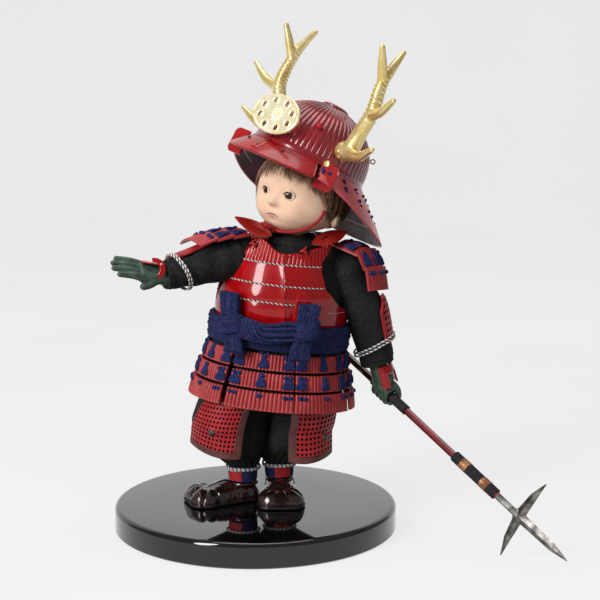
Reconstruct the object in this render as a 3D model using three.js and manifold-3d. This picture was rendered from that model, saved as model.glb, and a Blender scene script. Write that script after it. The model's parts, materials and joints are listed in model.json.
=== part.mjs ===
// Samurai festival doll on a round lacquer stand.
// Millimetres, +Z up. The doll's chest looks towards -Y and its own left hand is on the +X side.
// The origin is the centre of the underside of the stand.
import * as THREE from 'three';
import { mergeVertices } from 'three/addons/utils/BufferGeometryUtils.js';
import Module from 'manifold-3d';

const wasm = await Module();
wasm.setup();

const vec = (x, y, z) => new THREE.Vector3(x, y, z);
const rad = THREE.MathUtils.degToRad;
const lerp = THREE.MathUtils.lerp;

// Fits shared by all pieces
const GAP = 0.35; // air between neighbouring pieces
const RUNNING_GAP = 0.3; // extra radius of a bore in which something slides or turns
const FAR = 400; // longer than any piece, for cutting bodies
const WELD = 1e-4; // points closer than this are one point

// Facets of round pieces and of curved plates (across, along)
const ROUND_SIDES = 16;
const SMALL_SIDES = 8;
const CORD_SIDES = 5;
const CORD_STEPS = 16;
const GRID_STEPS = {
  thighGuard: [9, 3],
  armour: [14, 9],
  forearm: [8, 4],
  shoulder: [6, 1],
  fist: [6, 3],
  sash: [24, 2],
  panel: [7, 1],
  hair: [20, 5],
  peak: [12, 3],
  neckGuard: [18, 1],
};

// Stand
const BASE_RADIUS = 100;
const BASE_HEIGHT = 18;
const BASE_EDGE = 3.5; // radius of the rounded upper edge
const BASE_BEVEL = 0.8; // bevel of the lower edge
const BASE_SIDES = 40;

// Feet: where each ankle stands and how far its toes turn from straight ahead
const FEET = {
  right: { ankle: vec(-8.5, 5, 0), turn: rad(-77) },
  left: { ankle: vec(18.5, 12, 0), turn: rad(-5) },
};
const PEG_RADIUS = 2;
const PEG_IN_BASE = 10; // depth of the peg in the stand
const PEG_IN_LEG = 18; // length of the peg inside the trouser leg
// Shoe sections from heel to toe: distance in front of the ankle, half width, height
const SHOE_SECTIONS = [
  [-10, 6, 8.5],
  [-7.5, 9.5, 12],
  [0, 11, 13.5],
  [10, 11.5, 13.5],
  [20, 13.5, 11.5],
  [30, 15.5, 10],
  [37, 14.5, 9],
  [41, 9, 7],
];
const SHOE_ROUNDING = 0.7; // power that fills out the sides of the upper
const SHOE_TOP_POINTS = 8;
const SHOE_HEIGHT = 14; // to the flat top of the ankle opening
const SHOE_COLLAR_RADIUS = 10.6;
const CUFF_RADIUS = 10.4;
const CUFF_HEIGHT = 11;
const ANKLE_CORD_RADIUS = 1.3;
const ANKLE_CORD_HEIGHT = 8; // above the foot of the cuff

// Trousers: sections from ankle to thigh: height, centre x, centre y, half width, half depth
const TROUSERS = {
  right: [
    [50, -11, 5.5, 16, 16],
    [60, -15, 4, 24, 26],
    [72, -17.5, 3, 27, 30],
    [88, -16, 1, 26.5, 30],
    [104, -11, 0, 24.5, 30],
  ],
  left: [
    [50, 20, 9.5, 16, 16],
    [60, 26, 4, 22, 25],
    [72, 31, 1, 24, 29],
    [88, 33.5, 0, 25, 30],
    [104, 35, 0, 24.5, 30],
  ],
};
const LEG_SIDES = 18;
const TROUSER_ANKLE_RADIUS = 11.5;
const TROUSER_FULL_Z = 72; // below this height the cloth is drawn in to the ankle
const HIP_OFFSET = 23; // each leg from the middle of the hips
const HIP_HALF_WIDTH = 22.5;
const HIP_HALF_DEPTH = 31;
const CROTCH_SLOPE = rad(8.8); // lean of the plane between the legs

// Thigh guards: span round the leg, measured from straight ahead towards the doll's left
const THIGH_GUARD_SPAN = {
  right: [rad(-80), rad(18)],
  left: [rad(-24), rad(52)],
};
const THIGH_GUARD_LIFT = 0.85; // over the trouser leg
const THIGH_GUARD_WALL = 1.8;
const THIGH_GUARD_TOP_Z = 100;
const THIGH_GUARD_BOTTOM_Z = { right: 56.5, left: 52 };
const THIGH_GUARD_SIDE_RISE = 7; // the lower edge climbs this much at the outer end

// Torso frame: middle of the hips, leaning towards the doll's left
const HIP = vec(14.5, 0, 118);
const TORSO_LEAN = rad(6.3);
const TORSO_SIDES = 22;
// Torso sections in that frame: height, half width, half depth, sideways shift
const TORSO_SECTIONS = [
  [0, 47, 38, 0],
  [12.5, 46.6, 38, 0],
  [18, 43.5, 36.5, 0],
  [26, 43.3, 36.3, 0],
  [40, 43.4, 38.3, 0],
  [56, 42.4, 37.5, 0],
  [70, 38.5, 33, 0],
  [80, 32, 27, 1],
  [87, 22, 20, 2],
  [92, 14.5, 14.5, 3],
];

// Body armour
const ARMOUR_WALL = 1.8;
const ARMOUR_CLEARANCE = 1.25; // over the padded torso
const ARMOUR_BOTTOM_Z = 20;
const ARMOUR_STRAP_Z = 88; // height where the straps start
const ARMOUR_BLEND_Z = 70; // up to here it follows the torso
const ARMOUR_TOP_SECTION = [ARMOUR_STRAP_Z, 34.5, 29.5, 1];
const NECKLINE_DROP = 8; // dip of the front edge below the straps
const RIDGE_HEIGHT = 1.2;
const RIDGE_SPREAD = rad(9);
const RIDGE_ANGLE = rad(-8); // from straight ahead, toward the right arm
const RIDGE_FOOT_Z = [34, 42]; // the ridge rises between these heights
// Arm openings: height, angles of the right and the left edge from straight ahead
const FRONT_OPENING = [
  [20, 90, 90],
  [39, 90, 90],
  [46.5, 84, 50],
  [57.5, 68, 33],
  [70, 61, 29],
  [78, 57, 31],
  [84, 49, 39],
  [88, 44, 44],
];
const BACK_OPENING = [
  [20, 90, 90],
  [39, 90, 90],
  [53, 74, 74],
  [62, 60, 60],
  [74, 50, 50],
  [88, 44, 44],
];

// Shoulder straps and leaf plates
const STRAP_X = 23;
const STRAP_WIDTH = 12;
const STRAP_WALL = 1.8;
const STRAP_FRONT_Y = -21.5;
const STRAP_BACK_Y = 21.5;
const STRAP_TOP_Z = 93.5;
const STRAP_BEND = [0.72, 0.62]; // share of the reach and of the rise where the strap bends
const STRAP_STEPS = 10;
const LEAF_HALF_LENGTH = 17;
const LEAF_HALF_WIDTH = 7;
const LEAF_WALL = 1.4;
const LEAF_BELLY = [-0.33, 1.6]; // where the edge bulges, in half lengths and half widths
const LEAF_STEPS = 8;
const LEAF_CENTRE = vec(26, -21.25, 92.55);
const LEAF_ALONG = vec(0.86, 0.38, 0.33).normalize();
const LEAF_FACE = vec(0, -0.65, 0.76).normalize();

// Sash
const SASH_BOTTOM_Z = 15;
const SASH_TOP_Z = 33;
const SASH_WALL = 2.4;
const BOW_THICKNESS = 5;
const BOW_WIDTH = 12.5;
const BOW_ROPE_HEIGHT = 10;
const BOW_ROPE_EXTRA = 2; // the rope is this much thicker than the loops
const BOW_STEPS = 4;
const BOW_ROPE_LINE = [vec(-40, -31, 31), vec(-26, -43.5, 29), vec(-4, -48.5, 30.5), vec(14, -47.5, 32)];
// The two knots: the loop above each, the end below it, and the direction across them
const BOW_KNOTS = [
  {
    middle: vec(-37, -34.5, 30),
    loop: [vec(-38, -34, 39), vec(-38.5, -32.5, 50)],
    end: [vec(-35, -38, 22), vec(-34, -41, 14)],
    across: vec(0.8, -0.6, 0),
  },
  {
    middle: vec(12, -47.5, 32),
    loop: [vec(12.5, -47.5, 40), vec(12.5, -46, 48)],
    end: [vec(10, -50, 22), vec(9, -51.5, 13.5)],
    across: vec(1, 0, 0),
  },
];

// Skirt panels
const PANEL_COUNT = 7;
const PANEL_NAMES = [
  'front_left',
  'side_left',
  'back_left',
  'back',
  'back_right',
  'side_right',
  'front_right',
];
const PANEL_SEAM = rad(9); // the front seam sits a little towards the doll's left
const PANEL_GAP = rad(4.2);
const PANEL_ROW_COUNT = 3;
const PANEL_TOP_Z = 12.4;
const PANEL_ROW_HEIGHT = 12.5;
const PANEL_ROW_LAP = 1.6; // each row reaches up behind its neighbour's edge
const PANEL_FLARE = 0.2; // growth of the half width per millimetre of drop
const PANEL_WALL = 1.6;
const PANEL_STEP = 1.3; // each row hangs outside the one above

// Arms in the torso frame: centre line with the sleeve's radius, and the side its guards face
const ARMS = {
  right: {
    line: [vec(-32, -3, 74), vec(-45, -10, 70.5), vec(-65, -19, 64), vec(-86, -28, 58)],
    radii: [16.5, 15.5, 12.5, 10],
    face: vec(-0.1, 0.3, 0.95),
  },
  left: {
    line: [vec(26, -3, 77), vec(43, -7, 68), vec(56.5, -10.7, 46), vec(70.6, -9.8, 7.5)],
    radii: [15, 16.8, 15.4, 12.4],
    face: vec(0.9, -0.3, 0.3),
  },
};
const SLEEVE_SIDES = 14;
const SLEEVE_STEPS = 7;
const WIRE_RADIUS = 1.2;
const WIRE_PULL = 9; // the wire runs on this far past each end of the sleeve
const WIRE_STEPS = 9;
const FOREARM_GUARD_WALL = 1.6;
const FOREARM_GUARD_SPAN = rad(42); // to each side of its middle line
const FOREARM_GUARD_REACH = [0.62, 0.88]; // along the sleeve
const WRIST_CORD_RADIUS = 1.3;
const WRIST_CORD_PLACE = 0.915; // along the sleeve
const WRIST_CORD_REACH = 0.05; // its ring clears the sleeve this far up
// Shoulder guards: edges of the rows from the strap outwards, and the direction across them
const SHOULDER_GUARDS = {
  right: {
    edges: [vec(-36.3, -5, 91.6), vec(-47.5, -8.6, 88.8), vec(-58.5, -12.5, 85), vec(-70, -17, 80)],
    across: vec(-0.38, 0.92, -0.1).normalize(),
    width: 30,
  },
  left: {
    edges: [vec(38.5, -10.5, 91.2), vec(53.5, -19, 86.8), vec(60, -20.5, 75), vec(63.6, -21.5, 60.5)],
    across: vec(-0.66, -0.75, 0).normalize(),
    width: 26,
  },
};
const SHOULDER_GUARD_BEND = 4; // how far the two side edges fall behind the middle
const SHOULDER_GUARD_WALL = 1.5;
const SHOULDER_GUARD_STEP = 1.25;
const SHOULDER_GUARD_LAP = 0.1; // share of a row that reaches up under its neighbour

// Right hand: palm from wrist to knuckles, fingers spread flat
const RIGHT_WRIST = vec(-86.5, -28.2, 58.2);
const RIGHT_KNUCKLES = vec(-103, -34, 60.5);
const RIGHT_FINGERTIPS = vec(-121, -38.2, 63.4);
const RIGHT_HAND_ACROSS = vec(0.15, -0.8, -0.58).normalize();
const RIGHT_THUMB = [vec(-92, -33.5, 56), vec(-96, -37, 52.5), vec(-100, -39, 51)];
const FINGER_SPREAD = [-1.5, -0.5, 0.5, 1.5];
const FINGER_PITCH = 3.5;
const FINGER_FAN = 5;
const FINGER_RADII = [2.2, 2, 1.4];
const FINGER_SIDES = 7;
const FINGER_STEPS = 3;
const KNUCKLE_SINK = 0.2; // share of the palm that each finger runs back into
const PALM_WIDTH = 14;
const PALM_THICKNESS = 6;
const PALM_STEPS = 3;
const HAND_GUARD_WALL = 1.4;
const HAND_GUARD_PLACES = [0.25, 0.6, 0.95]; // along the palm

// Spear in the torso frame: the middle of the grip, where it aims, and lengths along the shaft
const SPEAR_GRIP = vec(79.2, -8.9, -12.7);
const SPEAR_AIM = vec(0.562, -0.718, -0.411).normalize();
const SHAFT_RADIUS = 2.7;
const SHAFT_SIDES = 8;
const SHAFT_BUTT = -105;
const SHAFT_HEAD = 117;
const GRIP_WRAP_ENDS = [-13, 23];
const GRIP_WRAP_WALL = 0.5;
const HEAD_WRAP_LENGTH = 41.5;
const HEAD_WRAP_BACK = 1.5; // the wrap ends this far before the head of the shaft
const HEAD_WRAP_WALL = 0.9;
const BLADE_STEM = 21; // from the head of the shaft to the cross
const BLADE_POINT = 45; // from the cross to the tip
const BLADE_NECK_RADIUS = 2.4;
const BLADE_HALF_WIDTH = 4;
const BLADE_HALF_THICKNESS = 1.7;
const BLADE_HEEL = 4; // the point starts this far before the cross
const BLADE_WAIST = { place: 0.7, width: 0.75, thickness: 0.8 }; // shares at the swell of the point
const BLADE_EDGE = [0.4, 0.3]; // half width and half thickness of the very tip
const SIDE_BLADE_LENGTH = 30;
const SIDE_BLADE_PLACES = [0, 0.6, 1];
const SIDE_BLADE_SWEEP = 4; // the side blades lean forwards
const BLADE_ROLL = rad(123); // turn of the cross about the shaft
const FIST_FLATNESS = 0.85;
const FIST_SIDES = 14;
const FIST_GUARD_SPAN = rad(50); // to each side of its middle line
const FIST_GUARD_REACH = [-20, -5];
// Fist: place along the wrist's line past the grip, radius
const FIST_SECTIONS = [
  [-27, 8.2],
  [-22, 9],
  [-11, 9.8],
  [0, 9.8],
  [5, 8.2],
  [8, 4.5],
];

// Head frame: the neck pivot in the torso frame, its lean and turn
const NECK = vec(2.7, -3, 89.5);
const HEAD_LEAN = rad(6);
const HEAD_TURN = rad(-46);
const NECK_PEG_RADIUS = 6.5;
const NECK_PEG_DOWN = 20;
const NECK_PEG_UP = 22;
// Head sections: height above the neck pivot, half width, half depth, forward shift
const HEAD_SECTIONS = [
  [3.6, 9, 9, 6],
  [6, 17, 15, 11],
  [12, 26, 23, 6],
  [20, 31, 28.5, 1.5],
  [28, 32, 31, 0],
  [36, 31.5, 31.5, 0],
  [46, 28.5, 29, -0.5],
  [54, 22, 23, -1],
  [60, 12.5, 13.5, -1],
  [62.5, 4, 4.5, -1],
];
const HEAD_SIDES = 20;
const NOSE_HEIGHT = 23.5;
const NOSE_RADIUS = 3;
const HAIR_WALL = 2.6;
const HAIR_TOP_Z = 57;
// Hairline: angle from straight ahead, height of the lower edge
const HAIRLINE = [
  [0, 42],
  [35, 41],
  [55, 34],
  [75, 20],
  [110, 14],
  [180, 12],
];
const CHIN_CORD_RADIUS = 1.1;
// Chin cord: angle from straight ahead towards the doll's left, height
const CHIN_CORD_ROUTE = [
  [-94, 14],
  [-90, 10.5],
  [-80, 7.4],
  [-58, 5.4],
  [-28, 4.2],
  [0, 3.8],
  [20, 4],
  [42, 5.2],
  [57, 7.6],
  [62, 11.3],
  [64, 16.1],
  [65, 20.5],
  [66, 24.5],
];
const CHIN_CORD_SLACK = 3.3; // it stands off the chin by this much
const CHIN_CORD_STEPS = 24;
const CHIN_CORD_SIDES = 3;

// Helmet frame: middle of the bowl's rim in the head frame, tipped back and a little turned
const HELMET_SEAT = vec(-1.3, -0.9, 52.3);
const HELMET_TIP = rad(-15);
const HELMET_ROLL = rad(7.8);
const HELMET_TURN = rad(-18.7);
const BOWL_WALL = 1.6;
const BOWL_RADIUS = 41;
const BOWL_HEIGHT = 43;
// Bowl outline: shares of the radius and of the height above the rim
const BOWL_SHAPE = [
  [1, 0],
  [0.9927, 0.2326],
  [0.9317, 0.4651],
  [0.7805, 0.6977],
  [0.5366, 0.8721],
  [0.2439, 0.9767],
];
const BOWL_OUTLINE = BOWL_SHAPE.map(([r, h]) => [r * BOWL_RADIUS, h * BOWL_HEIGHT]);
const BOWL_SIDES = 22;
const LINER_BOTTOM_Z = 4;
const CROWN_RING_RADIUS = 10;
const CROWN_RING_SINK = 4; // its skirt follows the bowl down this far
const CROWN_RING_HEIGHT = 1.3;
const CROWN_HOLE_RADIUS = 3.6;
const BRIM_TURN = rad(14); // peak, crest and neck guard sit a little turned on the bowl
const PEAK_SPAN = rad(51.5);
const PEAK_REACH = 14.5;
const PEAK_DROP = 12.6;
const PEAK_END_REACH = 11.3;
const PEAK_CURL = 1.3; // power of the peak's fall
const PEAK_WALL = 1.4;
const NECK_GUARD_START = rad(55); // from straight ahead
const NECK_GUARD_ROW_COUNT = 3;
const NECK_GUARD_ROW_REACH = 9;
const NECK_GUARD_ROW_DROP = 9.2;
const NECK_GUARD_FRONT_SHARE = 0.36; // depth of the rows at their front ends
const NECK_GUARD_FULL = rad(130); // from here to the back they have their full depth
const NECK_GUARD_LAP = 0.18; // share of a row that reaches up under its neighbour
const NECK_GUARD_STEP = 1.1;
const NECK_GUARD_WALL = 1.4;
const TURNBACK_WIDTH = 15;
const TURNBACK_HEIGHT = 17;
const TURNBACK_FOOT_Z = -15.5;
const TURNBACK_FOOT_REACH = 4; // its inner edge outside the rim
const TURNBACK_CORNER = 4;
const TURNBACK_LEAN = rad(40); // toward the back, from straight outwards
const CORNER_STEPS = 3;

// Antlers, measured from their seat on the bowl: left side, the right one is its mirror image
const ANTLER_ANGLE = rad(84); // of the seat, from straight ahead
const ANTLER_SEAT_Z = 15.5;
const ANTLER_PIN_RADIUS = 1.5;
const ANTLER_PIN_REACH = 1.4; // into the bowl
const ANTLER_PIN_OUT = 6; // into the antler
const ANTLER_BEAM = [
  vec(7.5, -0.8, 0.5),
  vec(13.9, -4.1, 15.5),
  vec(21.2, -8.1, 27.5),
  vec(19.4, -10.5, 50.5),
  vec(18.9, -8.3, 62.5),
  vec(16.9, -4.9, 74.5),
];
const ANTLER_BEAM_RADII = [6.2, 5.1, 4.9, 4.1, 2.9, 0.8];
const ANTLER_TINES = [
  { line: [vec(19.4, -10.5, 49.5), vec(20.9, -17.9, 58.5), vec(22.9, -26.1, 68.5)], radii: [3.6, 2.7, 0.8] },
  { line: [vec(21.2, -8.1, 26.5), vec(35.9, -12.4, 29.5), vec(50.9, -17.9, 38)], radii: [3.6, 2.8, 0.8] },
  { line: [vec(7.9, -1.3, 0), vec(26.9, -5.9, -1.5), vec(46.9, -12.4, 4.5)], radii: [5, 3.4, 0.9] },
];
const ANTLER_SIDES = 7;
const ANTLER_STEPS = 10;
const TINE_STEPS = 5;

// Crest and its holder in the helmet frame
const HOLDER_WIDTH = 5;
const HOLDER_WALL = 1.4;
const HOLDER_HEIGHT = 18;
const HOLDER_FOOT_Z = 2;
const CREST_TURN = rad(-4); // from the middle of the peak
const CREST_HALF_WIDTH = 23;
const CREST_HALF_HEIGHT = 14;
const CREST_CENTRE_Z = 17;
const CREST_WALL = 2;
const CREST_SOCKET_WALL = 1.4;
const CREST_SOCKET_RAISE = 6; // foot of the socket above the foot of the holder
const CREST_HOLE_COUNT = 8;
const CREST_HOLE_PLACE = 0.68; // share of the half width and half height
const CREST_HOLE_RADIUS = 2.3;
const CREST_STEPS = 5;

// Colours and finishes
const LOOKS = {
  lacquer_black: { color: 0x0b0b0d, roughness: 0.08, metalness: 0 },
  lacquer_red: { color: 0x9c1420, roughness: 0.3, metalness: 0 },
  helmet_red: { color: 0x8a1a1c, roughness: 0.35, metalness: 0 },
  cloth_black: { color: 0x17171b, roughness: 0.95, metalness: 0 },
  cloth_navy: { color: 0x1b2752, roughness: 0.9, metalness: 0 },
  cord_braid: { color: 0x8a8680, roughness: 0.85, metalness: 0 },
  cord_red: { color: 0xb5202a, roughness: 0.8, metalness: 0 },
  leather_brown: { color: 0x2e1512, roughness: 0.35, metalness: 0 },
  glove_green: { color: 0x2c4238, roughness: 0.6, metalness: 0 },
  skin: { color: 0xe9b795, roughness: 0.6, metalness: 0 },
  hair_brown: { color: 0x4a2b1d, roughness: 0.8, metalness: 0 },
  gold: { color: 0xd3a53c, roughness: 0.3, metalness: 1 },
  steel: { color: 0x8d8d8b, roughness: 0.4, metalness: 1 },
  wood: { color: 0xb58a5c, roughness: 0.8, metalness: 0 },
};

// Closed mesh from points and triangles, turned so that its faces point outwards
function closedMesh(points, triangles) {
  let volume = 0;
  for (const [a, b, c] of triangles) {
    volume += points[a].dot(points[b].clone().cross(points[c]));
  }
  const order = volume < 0 ? triangles.map(([a, b, c]) => [a, c, b]) : triangles;
  const geometry = new THREE.BufferGeometry().setFromPoints(points);
  geometry.setIndex(order.flat());
  return geometry;
}

// Solid through a row of closed rings with the same number of points, capped at both ends
function loft(rings) {
  const sides = rings[0].length;
  const points = rings.flat();
  const triangles = [];
  for (let r = 0; r + 1 < rings.length; r++) {
    for (let i = 0; i < sides; i++) {
      const next = (i + 1) % sides;
      const a = r * sides + i;
      const b = r * sides + next;
      triangles.push([a, b, b + sides], [a, b + sides, a + sides]);
    }
  }
  const cap = (start, turned) => {
    const centre = vec(0, 0, 0);
    for (let i = 0; i < sides; i++) {
      centre.addScaledVector(points[start + i], 1 / sides);
    }
    const hub = points.push(centre) - 1;
    for (let i = 0; i < sides; i++) {
      const edge = [start + i, start + ((i + 1) % sides)];
      triangles.push(turned ? [hub, edge[1], edge[0]] : [hub, edge[0], edge[1]]);
    }
  };
  cap(0, true);
  cap((rings.length - 1) * sides, false);
  return closedMesh(points, triangles);
}

// Thin curved plate between an outer and an inner surface, both given over u and v from 0 to 1
function plate(outer, inner, columns, rows, ring = false) {
  const points = [];
  const triangles = [];
  const across = ring ? columns : columns + 1;
  for (const surface of [outer, inner]) {
    for (let j = 0; j <= rows; j++) {
      for (let i = 0; i < across; i++) {
        points.push(surface(i / columns, j / rows));
      }
    }
  }
  const layer = across * (rows + 1);
  const at = (i, j, side) => side * layer + j * across + (i % across);
  const quad = (a, b, c, d) => triangles.push([a, b, c], [a, c, d]);
  for (let i = 0; i < columns; i++) {
    for (let j = 0; j < rows; j++) {
      quad(at(i, j, 0), at(i + 1, j, 0), at(i + 1, j + 1, 0), at(i, j + 1, 0));
      quad(at(i, j, 1), at(i, j + 1, 1), at(i + 1, j + 1, 1), at(i + 1, j, 1));
    }
    quad(at(i, 0, 0), at(i, 0, 1), at(i + 1, 0, 1), at(i + 1, 0, 0));
    quad(at(i, rows, 0), at(i + 1, rows, 0), at(i + 1, rows, 1), at(i, rows, 1));
  }
  if (!ring) {
    for (let j = 0; j < rows; j++) {
      quad(at(0, j, 0), at(0, j + 1, 0), at(0, j + 1, 1), at(0, j, 1));
      quad(at(columns, j, 0), at(columns, j, 1), at(columns, j + 1, 1), at(columns, j + 1, 0));
    }
  }
  return closedMesh(points, triangles);
}

// Round tube along a smooth line with its own radius at each of the line's points
function taperedTube(line, radii, sides, rings) {
  const curve = new THREE.CatmullRomCurve3(line);
  const frames = curve.computeFrenetFrames(rings, false);
  const circles = [];
  for (let r = 0; r <= rings; r++) {
    const t = r / rings;
    const centre = curve.getPointAt(t);
    const radius = along(radii, t);
    circles.push(circle(sides, (a) => centre.clone()
      .addScaledVector(frames.normals[r], radius * Math.cos(a))
      .addScaledVector(frames.binormals[r], radius * Math.sin(a))));
  }
  return loft(circles);
}

// Flat band along a smooth line, with one fixed direction across it
function band(line, across, width, thickness, rings) {
  const curve = new THREE.CatmullRomCurve3(line);
  const sections = [];
  for (let r = 0; r <= rings; r++) {
    const centre = curve.getPointAt(r / rings);
    const normal = curve.getTangentAt(r / rings).cross(across).normalize();
    sections.push([[-1, -1], [1, -1], [1, 1], [-1, 1]].map(([w, h]) => centre.clone()
      .addScaledVector(across, (w * width) / 2)
      .addScaledVector(normal, (h * thickness) / 2)));
  }
  return loft(sections);
}

function circle(sides, pointAt) {
  return Array.from({ length: sides }, (_, i) => pointAt((2 * Math.PI * i) / sides));
}

// Value at share t along an evenly spaced list
function along(list, t) {
  const place = t * (list.length - 1);
  const i = Math.min(Math.floor(place), list.length - 2);
  return lerp(list[i], list[i + 1], place - i);
}

// Row of a table of sections at a height, blended between the two nearest rows
function sectionAt(table, key) {
  const last = table.length - 1;
  const inside = THREE.MathUtils.clamp(key, table[0][0], table[last][0]);
  let i = 0;
  while (i < last - 1 && table[i + 1][0] < inside) {
    i++;
  }
  const share = (inside - table[i][0]) / (table[i + 1][0] - table[i][0]);
  return table[i].map((value, k) => lerp(value, table[i + 1][k], share));
}

// Solids for joining and cutting
function toSolid(geometry) {
  const bare = geometry.clone();
  bare.deleteAttribute('normal');
  bare.deleteAttribute('uv');
  const merged = mergeVertices(bare, WELD);
  return new wasm.Manifold(new wasm.Mesh({
    numProp: 3,
    vertProperties: merged.attributes.position.array,
    triVerts: Uint32Array.from(merged.index.array),
  }));
}

function toGeometry(solid) {
  const mesh = solid.getMesh();
  const geometry = new THREE.BufferGeometry();
  geometry.setAttribute('position', new THREE.BufferAttribute(mesh.vertProperties, mesh.numProp));
  geometry.setIndex(new THREE.BufferAttribute(mesh.triVerts, 1));
  return geometry;
}

function join(...geometries) {
  return toGeometry(geometries.map(toSolid).reduce((a, b) => a.add(b)));
}

function cut(geometry, ...cutters) {
  return toGeometry(cutters.map(toSolid).reduce((a, b) => a.subtract(b), toSolid(geometry)));
}

// Everything on the far side of a plane, for cutting
function beyond(point, normal) {
  const turn = new THREE.Quaternion().setFromUnitVectors(vec(0, 0, 1), normal.clone().normalize());
  return new THREE.BoxGeometry(FAR, FAR, FAR).translate(0, 0, FAR / 2)
    .applyQuaternion(turn).translate(point.x, point.y, point.z);
}

// Round bar between two points
function rod(from, to, radius, sides) {
  const line = to.clone().sub(from);
  const turn = new THREE.Quaternion().setFromUnitVectors(vec(0, 1, 0), line.clone().normalize());
  const middle = from.clone().addScaledVector(line, 0.5);
  return new THREE.CylinderGeometry(radius, radius, line.length(), sides)
    .applyQuaternion(turn).translate(middle.x, middle.y, middle.z);
}

// Ring of round section round an upright axis
function ringOf(radius, thickness) {
  return new THREE.TorusGeometry(radius, thickness, CORD_SIDES, CORD_STEPS);
}

const root = new THREE.Group();
root.name = 'samurai_doll';
const torso = new THREE.Group();
torso.position.copy(HIP);
torso.rotation.y = TORSO_LEAN;
root.add(torso);
const neck = new THREE.Group();
neck.position.copy(NECK);
neck.rotation.set(0, HEAD_LEAN, HEAD_TURN);
torso.add(neck);
const helmet = new THREE.Group();
helmet.position.copy(HELMET_SEAT);
helmet.rotation.set(HELMET_TIP, HELMET_ROLL, HELMET_TURN);
neck.add(helmet);
root.updateMatrixWorld(true);

function piece(name, geometry, look, parent) {
  const mesh = new THREE.Mesh(geometry, new THREE.MeshStandardMaterial(LOOKS[look]));
  mesh.name = name;
  mesh.material.name = look;
  parent.add(mesh);
  return mesh;
}

// Geometry of one frame expressed in another
function moved(geometry, from, to) {
  const shift = to.matrixWorld.clone().invert().multiply(from.matrixWorld);
  return geometry.clone().applyMatrix4(shift);
}

// Stand, with a blind hole for each foot peg
const shoeFoot = BASE_HEIGHT + GAP;
const cuffFoot = shoeFoot + SHOE_HEIGHT + GAP;
const trouserFoot = cuffFoot + CUFF_HEIGHT + GAP;
const pegFoot = BASE_HEIGHT - PEG_IN_BASE;
const pegHead = trouserFoot + PEG_IN_LEG;
const pegAt = (side, extra) => {
  const spot = FEET[side].ankle;
  const low = vec(spot.x, spot.y, pegFoot - extra);
  const high = vec(spot.x, spot.y, pegHead + extra);
  return rod(low, high, PEG_RADIUS + extra, ROUND_SIDES);
};
const SIDES = ['right', 'left'];
{
  const outline = [
    new THREE.Vector2(0, 0),
    new THREE.Vector2(BASE_RADIUS - BASE_BEVEL, 0),
    new THREE.Vector2(BASE_RADIUS, BASE_BEVEL),
  ];
  for (let i = 0; i <= CORNER_STEPS; i++) {
    const a = (Math.PI / 2) * (i / CORNER_STEPS);
    outline.push(new THREE.Vector2(
      BASE_RADIUS - BASE_EDGE * (1 - Math.cos(a)),
      BASE_HEIGHT - BASE_EDGE * (1 - Math.sin(a)),
    ));
  }
  outline.push(new THREE.Vector2(0, BASE_HEIGHT));
  const disc = new THREE.LatheGeometry(outline, BASE_SIDES).rotateX(Math.PI / 2);
  const holes = SIDES.map((side) => pegAt(side, GAP));
  piece('display_base', cut(disc, ...holes), 'lacquer_black', root);
}

// Shoes, pegs, cuffs and trouser legs
function shoe() {
  const rings = SHOE_SECTIONS.map(([forward, half, height]) => {
    const ring = [];
    for (let i = 0; i <= SHOE_TOP_POINTS; i++) {
      const a = (Math.PI * i) / SHOE_TOP_POINTS;
      ring.push(vec(half * Math.cos(a), -forward, height * Math.sin(a) ** SHOE_ROUNDING));
    }
    return ring;
  });
  const collar = rod(vec(0, 0, SHOE_HEIGHT / 2), vec(0, 0, SHOE_HEIGHT), SHOE_COLLAR_RADIUS, ROUND_SIDES);
  return join(loft(rings), collar);
}

function trouserRing(table, z) {
  const [, x, y, wide, deep] = sectionAt(table, z);
  return { centre: vec(x, y, z), wide, deep };
}

function trouserLeg(side) {
  const ankle = FEET[side].ankle;
  const outward = side === 'left' ? 1 : -1;
  const foot = circle(LEG_SIDES, (a) => vec(
    ankle.x + TROUSER_ANKLE_RADIUS * Math.cos(a),
    ankle.y + TROUSER_ANKLE_RADIUS * Math.sin(a),
    trouserFoot,
  ));
  const rings = TROUSERS[side].map(([z, x, y, wide, deep]) => circle(LEG_SIDES, (a) => vec(
    x + wide * Math.cos(a),
    y + deep * Math.sin(a),
    z,
  )));
  const hip = circle(LEG_SIDES, (a) => torso.localToWorld(vec(
    outward * HIP_OFFSET + HIP_HALF_WIDTH * Math.cos(a),
    HIP_HALF_DEPTH * Math.sin(a),
    -GAP / 2,
  )));
  const slope = vec(-outward * Math.cos(CROTCH_SLOPE), 0, outward * Math.sin(CROTCH_SLOPE));
  const inner = HIP.clone().addScaledVector(slope, -GAP / 2);
  return cut(loft([foot, ...rings, hip]), beyond(inner, slope), pegAt(side, GAP));
}

function thighGuard(side) {
  const [from, to] = THIGH_GUARD_SPAN[side];
  const surface = (offset) => (u, v) => {
    const angle = lerp(from, to, u);
    const rise = THIGH_GUARD_SIDE_RISE * Math.sin(angle) ** 2;
    const z = lerp(THIGH_GUARD_BOTTOM_Z[side] + rise, THIGH_GUARD_TOP_Z, v);
    const ring = trouserRing(TROUSERS[side], Math.max(z, TROUSER_FULL_Z));
    return vec(
      ring.centre.x + (ring.wide + offset) * Math.sin(angle),
      ring.centre.y - (ring.deep + offset) * Math.cos(angle),
      z,
    );
  };
  const outer = surface(THIGH_GUARD_LIFT + THIGH_GUARD_WALL);
  return plate(outer, surface(THIGH_GUARD_LIFT), ...GRID_STEPS.thighGuard);
}

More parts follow.
